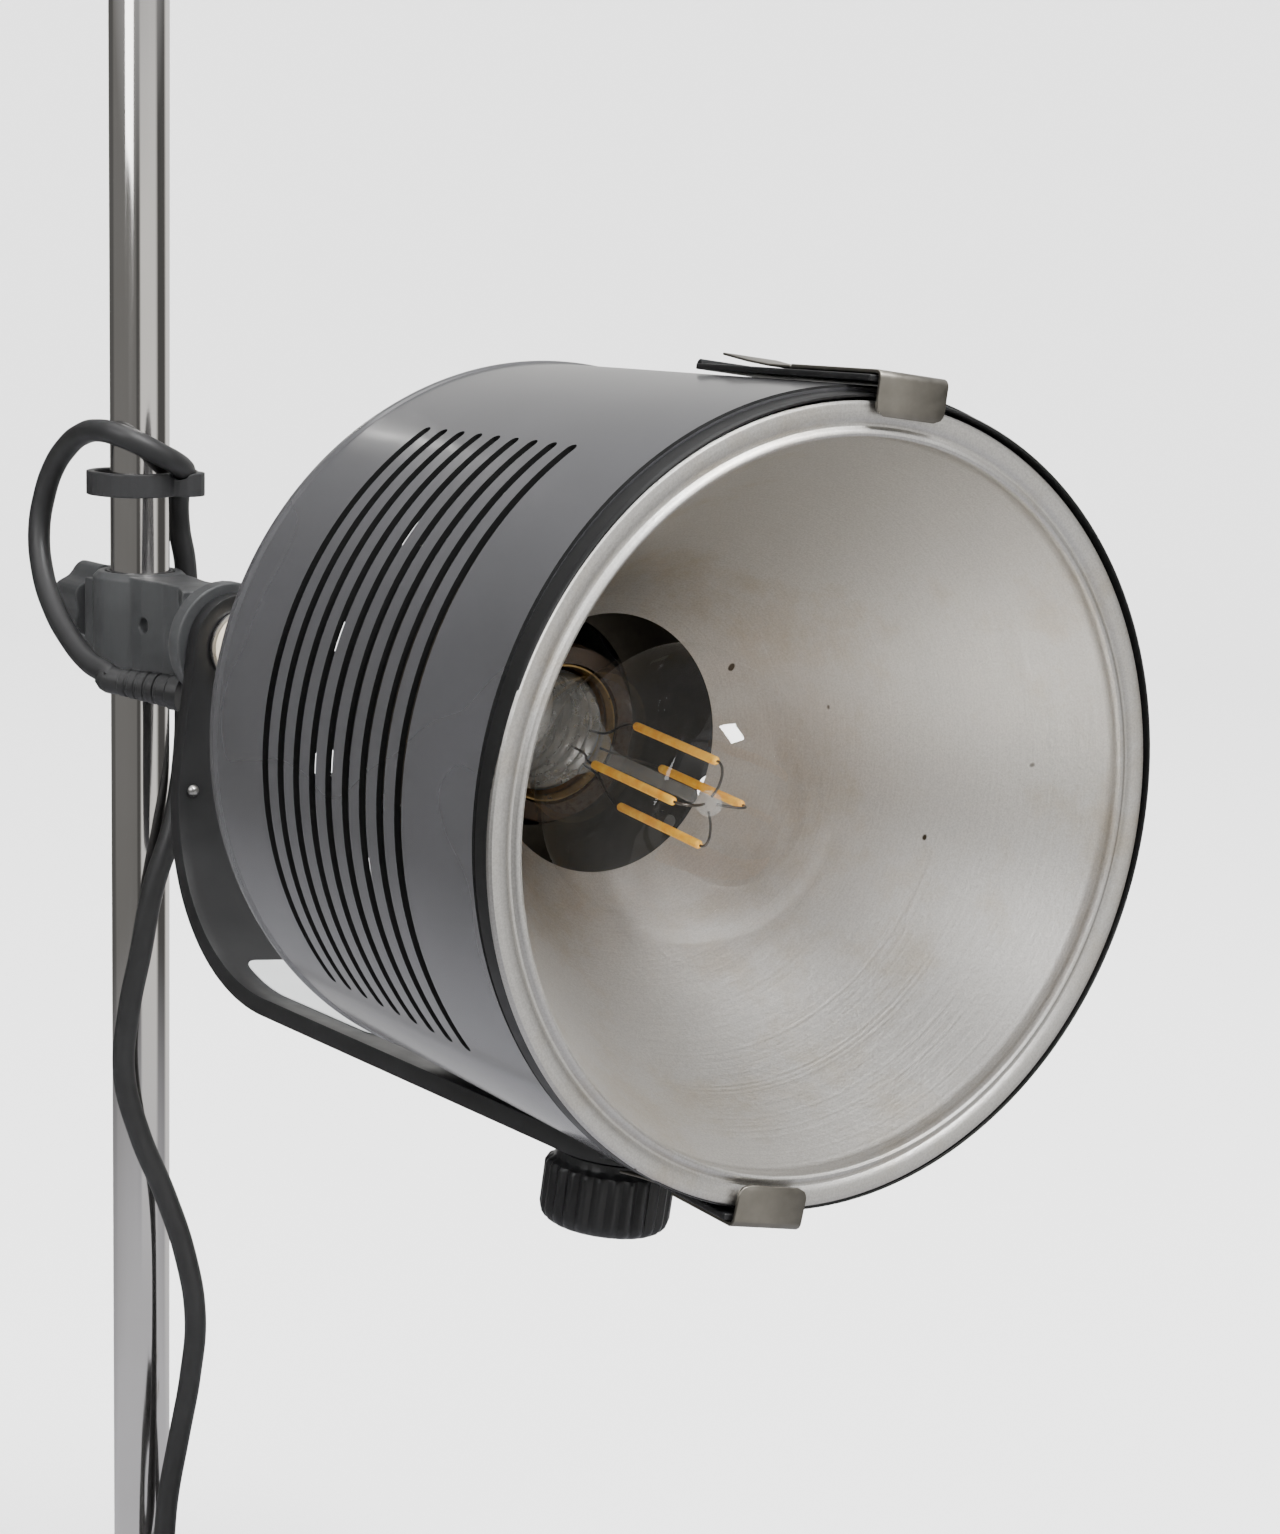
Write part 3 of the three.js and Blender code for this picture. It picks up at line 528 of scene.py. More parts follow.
def round_curve(name, radius, fineness, paths, material):
    """A round curve along each path of points in millimetres."""
    curve = bpy.data.curves.new(name, "CURVE")
    curve.dimensions = "3D"
    curve.bevel_depth = radius * MM
    curve.bevel_resolution = fineness
    curve.use_fill_caps = True
    for path in paths:
        spline = curve.splines.new("BEZIER")
        spline.bezier_points.add(len(path) - 1)
        for knot, point in zip(spline.bezier_points, path):
            knot.co = point * MM
            knot.handle_left_type = knot.handle_right_type = "AUTO"
    curve.materials.append(MATERIALS[material])
    return in_scene(name, curve)


def add_cord():
    thing = round_curve("mains_cord", CORD_D / 2, 5, [cord_points()], "lead_rubber")
    thing.data.resolution_u = 8
    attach(thing, "clamp")
    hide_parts("lead_cord", "lead_coil")
    return thing


cord = add_cord()


def coil_tie():
    """A strap drawn round the bundle of turns."""
    section = [(26.3, 4.4), (37.9, 4.4), (37.9, 10.2), (35.2, 16), (29.3, 16), (26.3, 10.2)]
    outer, inner = [], []
    for k, (r, z) in enumerate(section):
        before, after = Vector(section[k - 1]), Vector(section[(k + 1) % len(section)])
        here = Vector((r, z))
        first = (here - before).normalized()
        second = (after - here).normalized()
        a0 = math.atan2(-first.x, first.y) + math.pi
        a1 = math.atan2(-second.x, second.y) + math.pi
        if a1 < a0:
            a1 += 2 * math.pi
        for i in range(6):
            a = a0 + (a1 - a0) * i / 5
            out = Vector((math.cos(a), math.sin(a)))
            inner.append(tuple(here + out * (CORD_D / 2 + 0.15)))
            outer.append(tuple(here + out * (CORD_D / 2 + 1.15)))
    shape = slab(outer, -3, 3, [inner])
    place = Matrix.Translation(COIL_CENTRE) @ Matrix.Rotation(math.radians(45), 4, "Z") @ UP
    return bevelled(piece("coil_strap", shape, place, "clamp", "plug_plastic", ("coil_tie",)), 0.25, 2)


def plug():
    outline = rounded([(-13, 17), (13, 17), (16.5, 12), (13.5, -6), (5.4, -17), (-5.4, -17), (-13.5, -6),
                       (-16.5, 12)], 3.5, 5)
    body = bevelled(piece("plug_shell", slab(outline, -6.5, 6.5), PLUG_PLACE, "clamp", "plug_plastic",
                          ("plug_body",)), 2.2, 5)
    rings = [(0, -15.5), (5, -15.5)]
    for i in range(5):
        y = -17 - i * 2.1
        r = 4.7 - i * 0.22
        rings += [(r, y), (r, y - 1.1), (r - 0.7, y - 1.3), (r - 0.7, y - 1.9)]
    rings += [(3.2, -28), (0, -28)]
    relief = turned("plug_relief", rings, 32, PLUG_PLACE, "clamp", "plug_plastic")
    return [body, relief]


def lead_relief():
    """Tapered and ribbed where the lead leaves the clamp."""
    profile = [(0, 0), (4.4, 0), (4.5, 0.4), (4.5, 2.8), (4.1, 3.3)]
    for i in range(5):
        y = 4.2 + i * 2.7
        r = 4.1 - i * 0.14
        profile += [(r, y), (r, y + 1.5), (r - 0.45, y + 1.8), (r - 0.45, y + 2.4)]
    profile += [(3.35, 18.6), (3.3, 20), (2.95, 20.2), (0, 20.2)]
    turn = Vector((0, 1, 0)).rotation_difference(GLAND_AIM).to_matrix().to_4x4()
    place = PIVOT @ Matrix.Translation(GLAND_START) @ turn
    return turned("lead_relief", profile, 32, place, "clamp", "lead_rubber", ("lead_gland",))


strap = coil_tie()
plug_pieces = plug()
relief_piece = lead_relief()


# ---------------------------------------------------------------- pole
def pole():
    inner = POLE_R - 1.2
    low, high = 3.3, POLE_LENGTH - 3.3
    tube = rounded([(inner, low), (POLE_R, low), (POLE_R, high), (inner, high)], 0.3, 2)
    piece("pole_skin", lathe(tube, 160), UP, "pole", "pole_chrome", ("pole_tube",))
    foot = [(0, 0), (7.9, 0), (8.4, 0.5), (8.4, 2.4), (7.8, 3), (6, 3), (6, 16), (0, 16)]
    turned("pole_foot", foot, 64, UP, "pole", "plug_plastic", ("pole_foot_plug",))
    top = POLE_LENGTH
    cap = [(0, top - 16), (6, top - 16), (6, top - 3), (7.6, top - 3), (7.8, top - 2.7), (7.7, top - 1.4),
           (7.0, top - 0.6), (5, top), (0, top)]
    turned("pole_cap", cap, 64, UP, "pole", "plug_plastic", ("pole_top_plug",))


# ---------------------------------------------------------------- clamp
def clamp():
    softened("clamp_moulding", "clamp_body", "clamp", "clamp_plastic", 0.32, 5)
    softened("clamp_grip", "clamp_knob", "clamp_screw", "clamp_plastic", 0.3, 4)
    softened("ring_moulding", "cable_ring", "clamp", "clamp_plastic", 0.25, 4, "plug_plastic")
    outline = [(0, -54.4), (6.4, -54.4), (6.4, -50.8), (8.4, -50.8), (8.4, -54.6), (6.8, -56.4), (0, -56.9)]
    cap = rounded(outline, [0, 0.3, 0.3, 0.5, 0.9, 1.4, 0], 5, closed=False)
    turned("pivot_button", cap, 72, PIVOT, "clamp", "cream_plastic", ("pivot_cap",))


# ---------------------------------------------------------------- yoke
ARM_BEND = 50           # radius of the arm's middle line at its bend
ARM_TOP, ARM_HALF = 12.5, 12.5
BEND_CENTRE = Vector((0, -97, -28.3))
ARM_STRAIGHT = ARM_TOP - BEND_CENTRE.z
ARM_ROUND = ARM_BEND * math.pi / 2
ARM_END = -221.5
ARM_LENGTH = ARM_STRAIGHT + ARM_ROUND + (BEND_CENTRE.y - ARM_END)


def arm_station(u):
    """Point and outward normal of the arm's middle surface at distance u from its top end."""
    if u < ARM_STRAIGHT:
        return Vector((0, BEND_CENTRE.y + ARM_BEND, ARM_TOP - u)), Vector((0, 1, 0))
    if u < ARM_STRAIGHT + ARM_ROUND:
        a = (u - ARM_STRAIGHT) / ARM_BEND
        normal = Vector((0, math.cos(a), -math.sin(a)))
        return BEND_CENTRE + normal * ARM_BEND, normal
    rest = u - ARM_STRAIGHT - ARM_ROUND
    return BEND_CENTRE + Vector((0, -rest, -ARM_BEND)), Vector((0, 0, -1))


def bent_plate(stations, half_width, low, high, rows=8, offset_x=0.0):
    """A plate that follows the arm: its inner face is low and its outer face high, along the normal."""
    shape = bmesh.new()
    grid = []
    for u in stations:
        point, normal = arm_station(u)
        half = half_width(u)
        line = []
        across = [offset_x + half * (2 * k / rows - 1) for k in range(rows + 1)]
        for side in (low, high):
            line.append([shape.verts.new(point + normal * side + Vector((x, 0, 0))) for x in across])
        grid.append(line)
    for a, b in zip(grid, grid[1:]):
        for k in range(rows):
            shape.faces.new((a[0][k], a[0][k + 1], b[0][k + 1], b[0][k]))
            shape.faces.new((a[1][k + 1], a[1][k], b[1][k], b[1][k + 1]))
        shape.faces.new((a[0][0], b[0][0], b[1][0], a[1][0]))
        shape.faces.new((a[0][rows], a[1][rows], b[1][rows], b[0][rows]))
    for end in (grid[0], grid[-1]):
        for k in range(rows):
            shape.faces.new((end[0][k], end[0][k + 1], end[1][k + 1], end[1][k]))
    return shape


def yoke():
    half = ARM_HALF

    def width(u):
        end = min(u, ARM_LENGTH - u)
        return half if end >= half else max(0.6, math.sqrt(max(0, half ** 2 - (half - end) ** 2)))

    stations = [half * (1 - math.cos(math.radians(90 * i / 14))) for i in range(15)]
    stations += [half + 1 + (ARM_LENGTH - 2 * half - 2) * i / 90 for i in range(91)]
    stations += [ARM_LENGTH - s for s in reversed(stations[:15])]
    arm = piece("arm_bar", bent_plate(stations, width, -2, 2), YOKE, "yoke", "arm_paint", ("yoke_arm",))
    bevelled(arm, 0.55, 3)
    first, last = ARM_STRAIGHT + ARM_BEND * math.radians(66), ARM_STRAIGHT + ARM_ROUND + 34
    label_at = {first + (last - first) * i / 40 for i in range(41)}
    for step in (0.3, 0.8, 1.6):
        label_at |= {first + step, last - step}

    def label_width(u):
        end = min(u - first, last - u)
        corner = 2.5
        return 8.5 - (corner - math.sqrt(max(0, corner ** 2 - (corner - end) ** 2)) if end < corner else 0)

    sticker = bent_plate(sorted(label_at), label_width, -2.42, -2.12, 4, 2.5)
    piece("arm_sticker", sticker, YOKE, "yoke", "label_film", ("arm_label",))
    ring = rounded([(4.4, -50.5), (9, -50.5), (9, -49.3), (4.4, -49.3)], 0.25, 2)
    piece("pivot_disc", lathe(ring, 64), YOKE, "yoke", "small_steel", ("pivot_washer",))
    dot = [(0, -50.6), (0.8, -50.4), (1.4, -49.8), (1.5, -49.3), (0, -49.3)]
    turned("rivet_head", dot, 24, YOKE @ Matrix.Translation((-9.1, -0.9, -36)), "yoke", "small_steel",
           ("arm_rivet",))
    pad = rounded([(3.6, -76), (6.5, -76), (6.5, -75.3), (3.6, -75.3)], 0.15, 2)
    piece("arm_pad", lathe(pad, 48), KNOB @ UP, "yoke", "plug_plastic", ("arm_spacer",))
    knob()


def knob():
    """Fluted thumb nut: collar, fluted band and a rounded lower edge."""
    top = -80.6
    flutes, per = 26, 8
    total = flutes * per
    # Height below the top, radius, and how deep the flutes are there.
    rows = [(0.0, 3.3, 0), (0.0, 10.7, 0), (-0.35, 11.3, 0), (-1.7, 11.5, 0), (-2.2, 11.9, 0.2),
            (-2.7, 12.9, 0.7), (-3.4, 13.3, 1), (-12.0, 13.25, 1), (-13.3, 12.9, 0.9), (-14.2, 12.2, 0.5),
            (-14.8, 11.2, 0.15), (-15.05, 9.6, 0), (-15.05, 3.0, 0), (-14.9, 0.0, 0)]
    shape = bmesh.new()
    rings = []
    for z, r, flute in rows:
        if r == 0:
            rings.append([shape.verts.new((0, 0, top + z))])
            continue
        ring = []
        for i in range(total):
            a = 2 * math.pi * i / total
            groove = max(0.0, 0.5 - 0.5 * math.cos(flutes * a)) ** 1.6
            rr = r - 0.75 * flute * groove
            ring.append(shape.verts.new((rr * math.cos(a), rr * math.sin(a), top + z)))
        rings.append(ring)
    for low, high in zip(rings, rings[1:]):
        for i in range(total):
            j = (i + 1) % total
            face = [low[i], low[j]] + ([high[j], high[i]] if len(high) > 1 else [high[0]])
            shape.faces.new(face)
    inner = [shape.verts.new((x, y, top - 10.4)) for x, y in circle(3.3, total)]
    centre = shape.verts.new((0, 0, top - 10.4))
    for i in range(total):
        j = (i + 1) % total
        shape.faces.new((rings[0][j], rings[0][i], inner[i], inner[j]))
        shape.faces.new((inner[j], inner[i], centre))
    piece("thumb_nut", shape, KNOB, "yoke_nut", "knob_plastic", ("yoke_knob",), sharp=28)
    stud = [(0, -90.8), (2.6, -90.8), (3, -90.3), (3, -65.4), (2.6, -65), (0, -65)]
    turned("thumb_stud", stud, 32, KNOB @ UP, "head", "small_steel", ("yoke_stud",))


# ---------------------------------------------------------------- head
SLOTS, SLOT_PITCH, SLOT_WIDTH = 9, 6.67, 2.6
SLOT_HALF, SLOT_OFFSET = 47.2, 2.4


def slot_cutters():
    """Long slots with round ends, bent round the shade, as one mesh."""
    shape = bmesh.new()
    reach = SLOT_WIDTH / 2
    end = math.degrees(reach / SHADE_R)
    quarter = [polar(1, 90 * k / 6) for k in range(7)]
    for index in range(SLOTS):
        y = (index - (SLOTS - 1) / 2) * SLOT_PITCH
        for middle in (SLOT_OFFSET, 180 - SLOT_OFFSET):
            first, last = middle - SLOT_HALF, middle + SLOT_HALF
            ends = [(end * (1 - c), max(0.1, reach * d)) for c, d in quarter]
            rows = [(first + along, half) for along, half in ends]
            rows += [(first + end + (last - first - 2 * end) * k / 60, reach) for k in range(1, 60)]
            rows += [(last - along, half) for along, half in reversed(ends)]
            rings = []
            for angle, half in rows:
                c, d = polar(1, angle)
                rings.append([shape.verts.new((r * c, y + h, r * d)) for r, h in (
                    (SHADE_R - 4, -half), (SHADE_R + 4, -half), (SHADE_R + 4, half), (SHADE_R - 4, half))])
            for low, high in zip(rings, rings[1:]):
                for k in range(4):
                    shape.faces.new((low[k], low[(k + 1) % 4], high[(k + 1) % 4], high[k]))
            shape.faces.new(rings[0])
            shape.faces.new(rings[-1][::-1])
    return shape


def cut_by(thing, shape, place):
    """Takes the shape away from the piece."""
    cutter = in_scene("cutter", as_mesh("cutter", shape, place))
    with_modifiers(thing, ("BOOLEAN", {"operation": "DIFFERENCE", "object": cutter, "solver": "EXACT"}))
    bpy.data.objects.remove(cutter)
    return thing


def paint_shade_black(thing, test):
    """Paints the faces that the test picks, by centre and normal in the head's frame, a matt black that is
    painted shade: the dark of the head's shadowed inside.
    """
    thing.data.materials.append(MATERIALS["painted_shade_black"])
    index = len(thing.data.materials) - 1
    back = (Matrix.Scale(MM, 4) @ HEAD).inverted()
    turn = HEAD.to_3x3().inverted()
    for polygon in thing.data.polygons:
        if test(back @ polygon.center, turn @ polygon.normal):
            polygon.material_index = index


def true_round(thing):
    """The painted outside keeps a cylinder's own normals, whatever faces the slots left."""
    mesh = thing.data
    back = (Matrix.Scale(MM, 4) @ HEAD).inverted()
    turn = HEAD.to_3x3()
    normals = [Vector(corner.vector) for corner in mesh.corner_normals]
    for polygon in mesh.polygons:
        for index in polygon.loop_indices:
            c = back @ mesh.vertices[mesh.loops[index].vertex_index].co
            radial = (turn @ Vector((c.x, 0, c.z))).normalized()
            if polygon.normal.dot(radial) > 0.95 and math.hypot(c.x, c.z) > 74.9 and -52.75 < c.y < 48.65:
                normals[index] = radial
    mesh.normals_split_custom_set(normals)


def shade():
    inner = SHADE_R - 1.2
    profile = [(inner, -53.2), (74.6, -53.2), (75, -52.7), (75, 48.6), (75.25, 49.1), (75.5, 49.7),
               (75.5, 50.6), (75.2, 51.2), (74.8, 51.4), (inner, 51.4)]
    can = piece("shade_can", lathe(profile, 240), HEAD, "head", "shade_paint", ("shade",))
    cut_by(can, slot_cutters(), HEAD)
    hole = bmesh.new()                                 # the stud's hole, straight down
    bmesh.ops.create_cone(hole, cap_ends=True, segments=32, radius1=3.6, radius2=3.6, depth=10)
    cut_by(can, hole, HEAD @ Matrix.Translation((0, 0, -75)))
    smoothed(can.data, 30)
    # Painted shade: the shade's inside and its slot walls are painted matt black, for the shadow seen through
    # the slots.
    paint_shade_black(can, lambda c, n: math.hypot(c.x, c.z) < 74.9 and c.y > -53.15 and c.y < 51.3
            and (n.x * c.x + n.z * c.z) / math.hypot(c.x, c.z) < 0.9)
    true_round(can)


def rear():
    y, r, cup, end = 51.7, 73.5, 26, 86
    outline = [(0, end), (cup - 5, end), (cup, end - 5), (cup, y + 3.6), (cup + 2, y + 1.5),
               (SHADE_R - 1, y + 1.5), (SHADE_R, y + 0.8), (SHADE_R, y), (r, y), (r, y - 4), (r - 1.5, y - 4),
               (r - 1.5, y), (cup - 1.4, y), (cup - 1.4, end - 5.6), (cup - 5.6, end - 1.5), (0, end - 1.5)]
    radii = [0, 4, 4, 2, 2, 0.5, 0.5, 0, 0, 0, 0, 0, 0, 3, 3, 0]
    shell = lathe(rounded(outline, radii, 6, closed=False), 192, closed=False)
    cover = piece("back_cover", shell, HEAD, "head", "shade_paint", ("rear_cover",))
    screws = [polar(40, a) for a in (90, 210, 330)]
    holes = [((x, y + 1.5, z), 3.2) for x, z in (polar(50, a) for a in range(15, 375, 30))]
    holes += [((x, y + 1.5, z), 1.9) for x, z in screws]
    cut_by(cover, drills(holes + [((0, end - 2.5, 0), 3.4)], 28), HEAD)
    smoothed(cover.data, 30)
    gland = [(0, end - 3), (3, end - 3), (3, end + 0.3), (5.6, end + 0.3), (6, end + 0.7), (5.8, end + 3.4),
             (5, end + 4.2), (4.6, end + 6), (4.4, end + 15.6), (4, end + 16), (0, end + 16)]
    turned("back_gland", gland, 48, HEAD, "head", "lead_rubber", ("rear_gland",))
    for k, (x, z) in enumerate(screws):
        head = [(0, y - 6), (1.5, y - 6), (1.5, y + 1.8), (3.2, y + 1.8), (3.1, y + 2.8), (2.2, y + 3.6),
                (0, y + 3.8)]
        place = HEAD @ Matrix.Translation((x, 0, z))
        screw = turned(f"back_screw_{k + 1}", head, 40, place, "head", "small_steel",
                       (f"rear_screw_{k + 1}",))
        slot = block(-3.6, 3.6, y + 2.9, y + 5, -0.35, 0.35)
        cut_by(screw, slot, place @ Matrix.Rotation(0.6 + k, 4, "Y"))
    # The bracket plate takes painted shade: a darker steel than its own, for the shadow it lies in.
    plate = rounded([(23, y - 2.3), (45, y - 2.3), (45, y - 0.3), (23, y - 0.3)], 0.2, 2)
    bracket = piece("bracket_plate", lathe(plate, 96), HEAD, "head", "small_steel", ("holder_bracket",),
                    "painted_shade_steel")
    cut_by(bracket, drills([((x, y - 1, z), 1.9) for x, z in screws], 24), HEAD)


def reflector():
    wall, rim, back = 0.9, -55.4, 21.2

    def bowl_r(y):
        return math.sqrt(49.4 * (91.9 - (y + 56.2)))

    steps = 60
    along = [rim + (back - rim) * i / steps for i in range(steps + 1)]
    inside = [(bowl_r(y), y) for y in along]
    outside = [(bowl_r(y) + wall, y) for y in along]
    # Round the flat flange, the groove and the thin bead, from behind to the bowl.
    edge = [(67.9, -56.6), (69.5, -57), (72.9, -56.9), (73.3, -57.3), (73.3, -58.0), (72.9, -58.5),
            (72.2, -58.62), (70.6, -58.45), (69.9, -58.2), (69.3, -57.75), (68.9, -57.75), (68.5, -58.15),
            (68.1, -58.5), (67.6, -58.6), (67.15, -58.35), (66.95, -57.8), (66.95, -57.0)]
    profile = inside[::-1] + edge[::-1] + outside
    bowl = piece("reflector_bowl", lathe(profile, 256), HEAD @ Matrix.Translation(BOWL_OFFSET), "head",
                 "spun_aluminium", ("reflector",))
    # Painted shade: the bowl's back is painted matt black for the shadow behind it, though the metal there is
    # bare.
    paint_shade_black(bowl, lambda c, n: c.y > rim and n.x * (c.x - BOWL_OFFSET.x) + n.z * (c.z - BOWL_OFFSET.z) > 0)


def front_ring():
    y = -53.5
    lip = [(73.5, y - 1), (73.5, y - 4.4), (73.7, y - 4.7), (74.0, y - 4.7), (74.25, y - 4.4),
           (74.35, y - 3.4), (74.4, y - 0.1), (74.3, y), (73.0, y), (73.0, y + 6), (71.8, y + 6),
           (71.8, y - 1)]
    piece("front_bezel", lathe(lip, 192), HEAD @ Matrix.Translation((-0.5, 0, -0.5)), "head", "knob_plastic",
          ("front_ring",), "bezel_black")


def nut():
    hexagon = rounded(circle(5.8, 6), 0.4, 2)
    shape = slab(hexagon, -73, -67.4, [circle(3.3, 24)])
    bevelled(piece("stud_nut", shape, HEAD, "head", "small_steel", ("knob_nut",)), 0.3, 2)


def clip(name, angle, rear_end):
    place = HEAD @ Matrix.Rotation(math.radians(angle), 4, "Y")
    body = name
    base, half, front = SHADE_R + 0.4, 9, -59
    bar = block(-half, half, front, rear_end, base, base + 1.2)
    bar = piece(name + "_lever", bar, place, body, "knob_plastic", (name + "_bar",))
    bevelled(bar, 0.25, 2)
    end = half - 0.1
    knuckle = lathe([(0, -end), (0.8, -end), (1.0, 0.2 - end), (1.0, end - 0.2), (0.8, end), (0, end)], 24,
                    closed=False)
    turn = Matrix.Rotation(-math.pi / 2, 4, "Z")
    piece(name + "_knuckle", knuckle, place @ Matrix.Translation((0, rear_end - 1, base + 1.0)) @ turn, body,
          "knob_plastic")
    width = half - 1.25
    tab_front = rear_end - 4 - (rear_end - front) * 0.42
    hook_top, thick = base + 1.5, 0.7
    lip = 69.6
    path = [(tab_front - 2, hook_top + 0.35), (front - 0.4, hook_top + 0.35), (front - 1.05, hook_top - 0.3),
            (front - 1.05, 75), (front - 1.0, 72), (front - 0.95, lip)]
    corner = 2.2

    def hook_half(distance_to_lip):
        d = distance_to_lip
        if d >= corner:
            return width
        return width - (corner - math.sqrt(max(0, corner ** 2 - (corner - d) ** 2)))

    ribbon(name + "_grip", rounded(path, 1.1, 6, closed=False), hook_half, thick, place, body,
           (name + "_hook",))
    span = rear_end - 4 - tab_front
    tab_path = [(tab_front, hook_top + 0.3), (tab_front + span * 0.3, hook_top + 0.35),
                (tab_front + span * 0.6, hook_top + 0.9), (tab_front + span * 0.97, hook_top + 1.9)]
    ribbon(name + "_spring", rounded(tab_path, 2, 4, closed=False), lambda d: half - 2.6, 0.5, place, body,
           (name + "_tab",))


def ribbon(name, path, half_at, thick, place, body, replaced):
    """A steel strip along a path of (y, z), as wide as half_at says at each distance from the path's end."""
    shape = bmesh.new()
    points = [Vector(p) for p in path]
    fine = []
    for a, b in zip(points, points[1:]):
        steps = max(1, int((b - a).length / 0.5))
        fine += [a.lerp(b, i / steps) for i in range(steps)]
    fine.append(points[-1])
    left = [0.0]
    for a, b in zip(fine[::-1], fine[::-1][1:]):
        left.append(left[-1] + (b - a).length)
    left = left[::-1]
    grid = []
    for i, p in enumerate(fine):
        ahead = fine[min(i + 1, len(fine) - 1)]
        behind = fine[max(i - 1, 0)]
        along = (ahead - behind).normalized()
        out = Vector((-along.y, along.x)) * (thick / 2)
        half = half_at(left[i])
        corners = ((-half, p - out), (half, p - out), (half, p + out), (-half, p + out))
        grid.append([shape.verts.new((x, q.x, q.y)) for x, q in corners])
    for a, b in zip(grid, grid[1:]):
        for k in range(4):
            j = (k + 1) % 4
            shape.faces.new((a[k], a[j], b[j], b[k]))
    shape.faces.new(grid[0][::-1])
    shape.faces.new(grid[-1])
    thing = piece(name, shape, place, body, "clip_steel", replaced)
    bevelled(thing, 0.16, 2, 50)
    return thing


# ---------------------------------------------------------------- bulb
GLOBE_Y = -72.9
GLOBE_PROFILE = [(30, 0), (29.75, 4), (28.9, 8), (27.5, 12), (25.6, 16), (23.1, 20.5), (20.6, 25),
                 (18.2, 29.5), (16.3, 34), (14.9, 38.5), (13.9, 42.5), (13.3, 46.5), (12.9, 50)]


def smooth_profile(points, steps):
    """Catmull-Rom through (r, y) points."""
    out = []
    count = len(points)
    for i in range(count - 1):
        p0 = points[max(i - 1, 0)]
        p1, p2 = points[i], points[i + 1]
        p3 = points[min(i + 2, count - 1)]
        for k in range(steps):
            t = k / steps
            out.append(tuple(0.5 * (2 * b + (c - a) * t + (2 * a - 5 * b + 4 * c - d) * t * t
                                    + (3 * b - a - 3 * c + d) * t ** 3)
                             for a, b, c, d in zip(p0, p1, p2, p3)))
    out.append(tuple(points[-1]))
    return out


def bulb():
    place = HOLDER @ Matrix.Translation((0, GLOBE_Y, 0))
    outer = ball_profile(30, 0, range(0, 88, 4)) + smooth_profile(GLOBE_PROFILE, 4)
    turned("globe", outer, 128, place, "bulb", "bulb_glass", ("bulb_glass",))
    thread = [(13.2, 51)]
    for i in range(20):
        depth = i * 0.95
        thread.append((12.6 + 0.55 * math.cos(2 * math.pi * depth / THREAD_PITCH), 51.6 + depth))
    cap = smooth_profile(thread + [(12, 70.6)], 2) + [(9, 73.2), (0, 73.2)]
    turned("screw_cap", cap, 64, place, "bulb", "small_steel", ("bulb_cap",))
    tip = [(0, 73.5), (5.2, 73.5), (5, 74), (4, 75.2), (0, 75.6)]
    turned("cap_contact", tip, 40, place, "bulb", "holder_brass", ("bulb_contact",))
    flare = [(1.35, -4.2), (1.3, 0), (1.4, 12), (1.5, 24), (2.6, 30), (4.6, 34), (6.2, 38), (8.2, 43),
             (10.8, 47), (12.2, 50)]
    stem = ball_profile(2.6, -7, range(0, 150, 10)) + smooth_profile(flare, 4)
    turned("stem_rod", stem, 48, place, "bulb", "bulb_glass", ("bulb_stem",), "stem_glass")
    rods = [(0, 1), (1, 0), (0, -1), (-1, 0)]
    rod = [(0, -7), (0.55, -6.9), (0.85, -6.5), (0.9, -6), (0.9, 20.5), (0.85, 21), (0.55, 21.4), (0, 21.5)]
    for k, (x, z) in enumerate(rods):
        turned(f"filament_rod_{k + 1}", rod, 20, place @ Matrix.Translation((x * 8.5, 0, z * 8.5)),
               "bulb", "filament_coating", (f"filament_{k + 1}",))
    wires(place, rods)


def wires(place, rods):
    """Support wires from the bead to the filaments' front ends and from the stem to their rear ends."""
    front = [(1.5, -7.4), (4.5, -9.0), (7.6, -8.8), (8.5, -7.6), (8.5, -6.4)]
    rear = [(8.5, 20.8), (8.5, 22.6), (7.6, 25.2), (4.6, 30.5), (3.6, 36.5)]
    paths = [[place @ Vector((x * r, y, z * r)) for r, y in path] for x, z in rods for path in (front, rear)]
    temporary = round_curve("bulb_wires", 0.28, 2, paths, "small_steel")
    deps = bpy.context.evaluated_depsgraph_get()
    mesh = bpy.data.meshes.new_from_object(temporary.evaluated_get(deps))
    bpy.data.objects.remove(temporary)
    finish_mesh("filament_wires", mesh, "bulb", "small_steel", material="wire")


def holder():
    start, end = GLOBE_Y + 47.2, GLOBE_Y + 84
    cup = [(0, end - 5), (15.4, end - 5), (15.4, start), (15.9, start), (19.0, start), (19.4, start + 0.6),
           (19.4, end - 3), (16.4, end), (0, end)]
    turned("holder_cup", cup, 96, HOLDER, "head", "plug_plastic", ("lamp_holder",), "holder_ceramic")
    low, high = start + 1, GLOBE_Y + 74
    depths = [(high - low) * i / 40 for i in range(41)]
    thread = [(14.35 + 0.3 * math.cos(2 * math.pi * depth / THREAD_PITCH), low + depth) for depth in depths]
    shell = thread + [(r + 0.35, y) for r, y in reversed(thread)]
    piece("holder_sleeve", lathe(shell, 64), HOLDER, "head", "holder_brass", ("holder_shell",))
    face, back = GLOBE_Y + 76, GLOBE_Y + 78.6
    disc = [(0, face), (4, face), (4.5, face + 0.5), (4.5, back), (0, back)]
    turned("holder_button", disc, 40, HOLDER, "head", "holder_brass", ("holder_contact",))


pole()
clamp()
yoke()
shade()
rear()
reflector()
front_ring()
nut()
clip("clip_top", -1.5, -5.5)
clip("clip_bottom", 184.8, -17)
bulb()
holder()

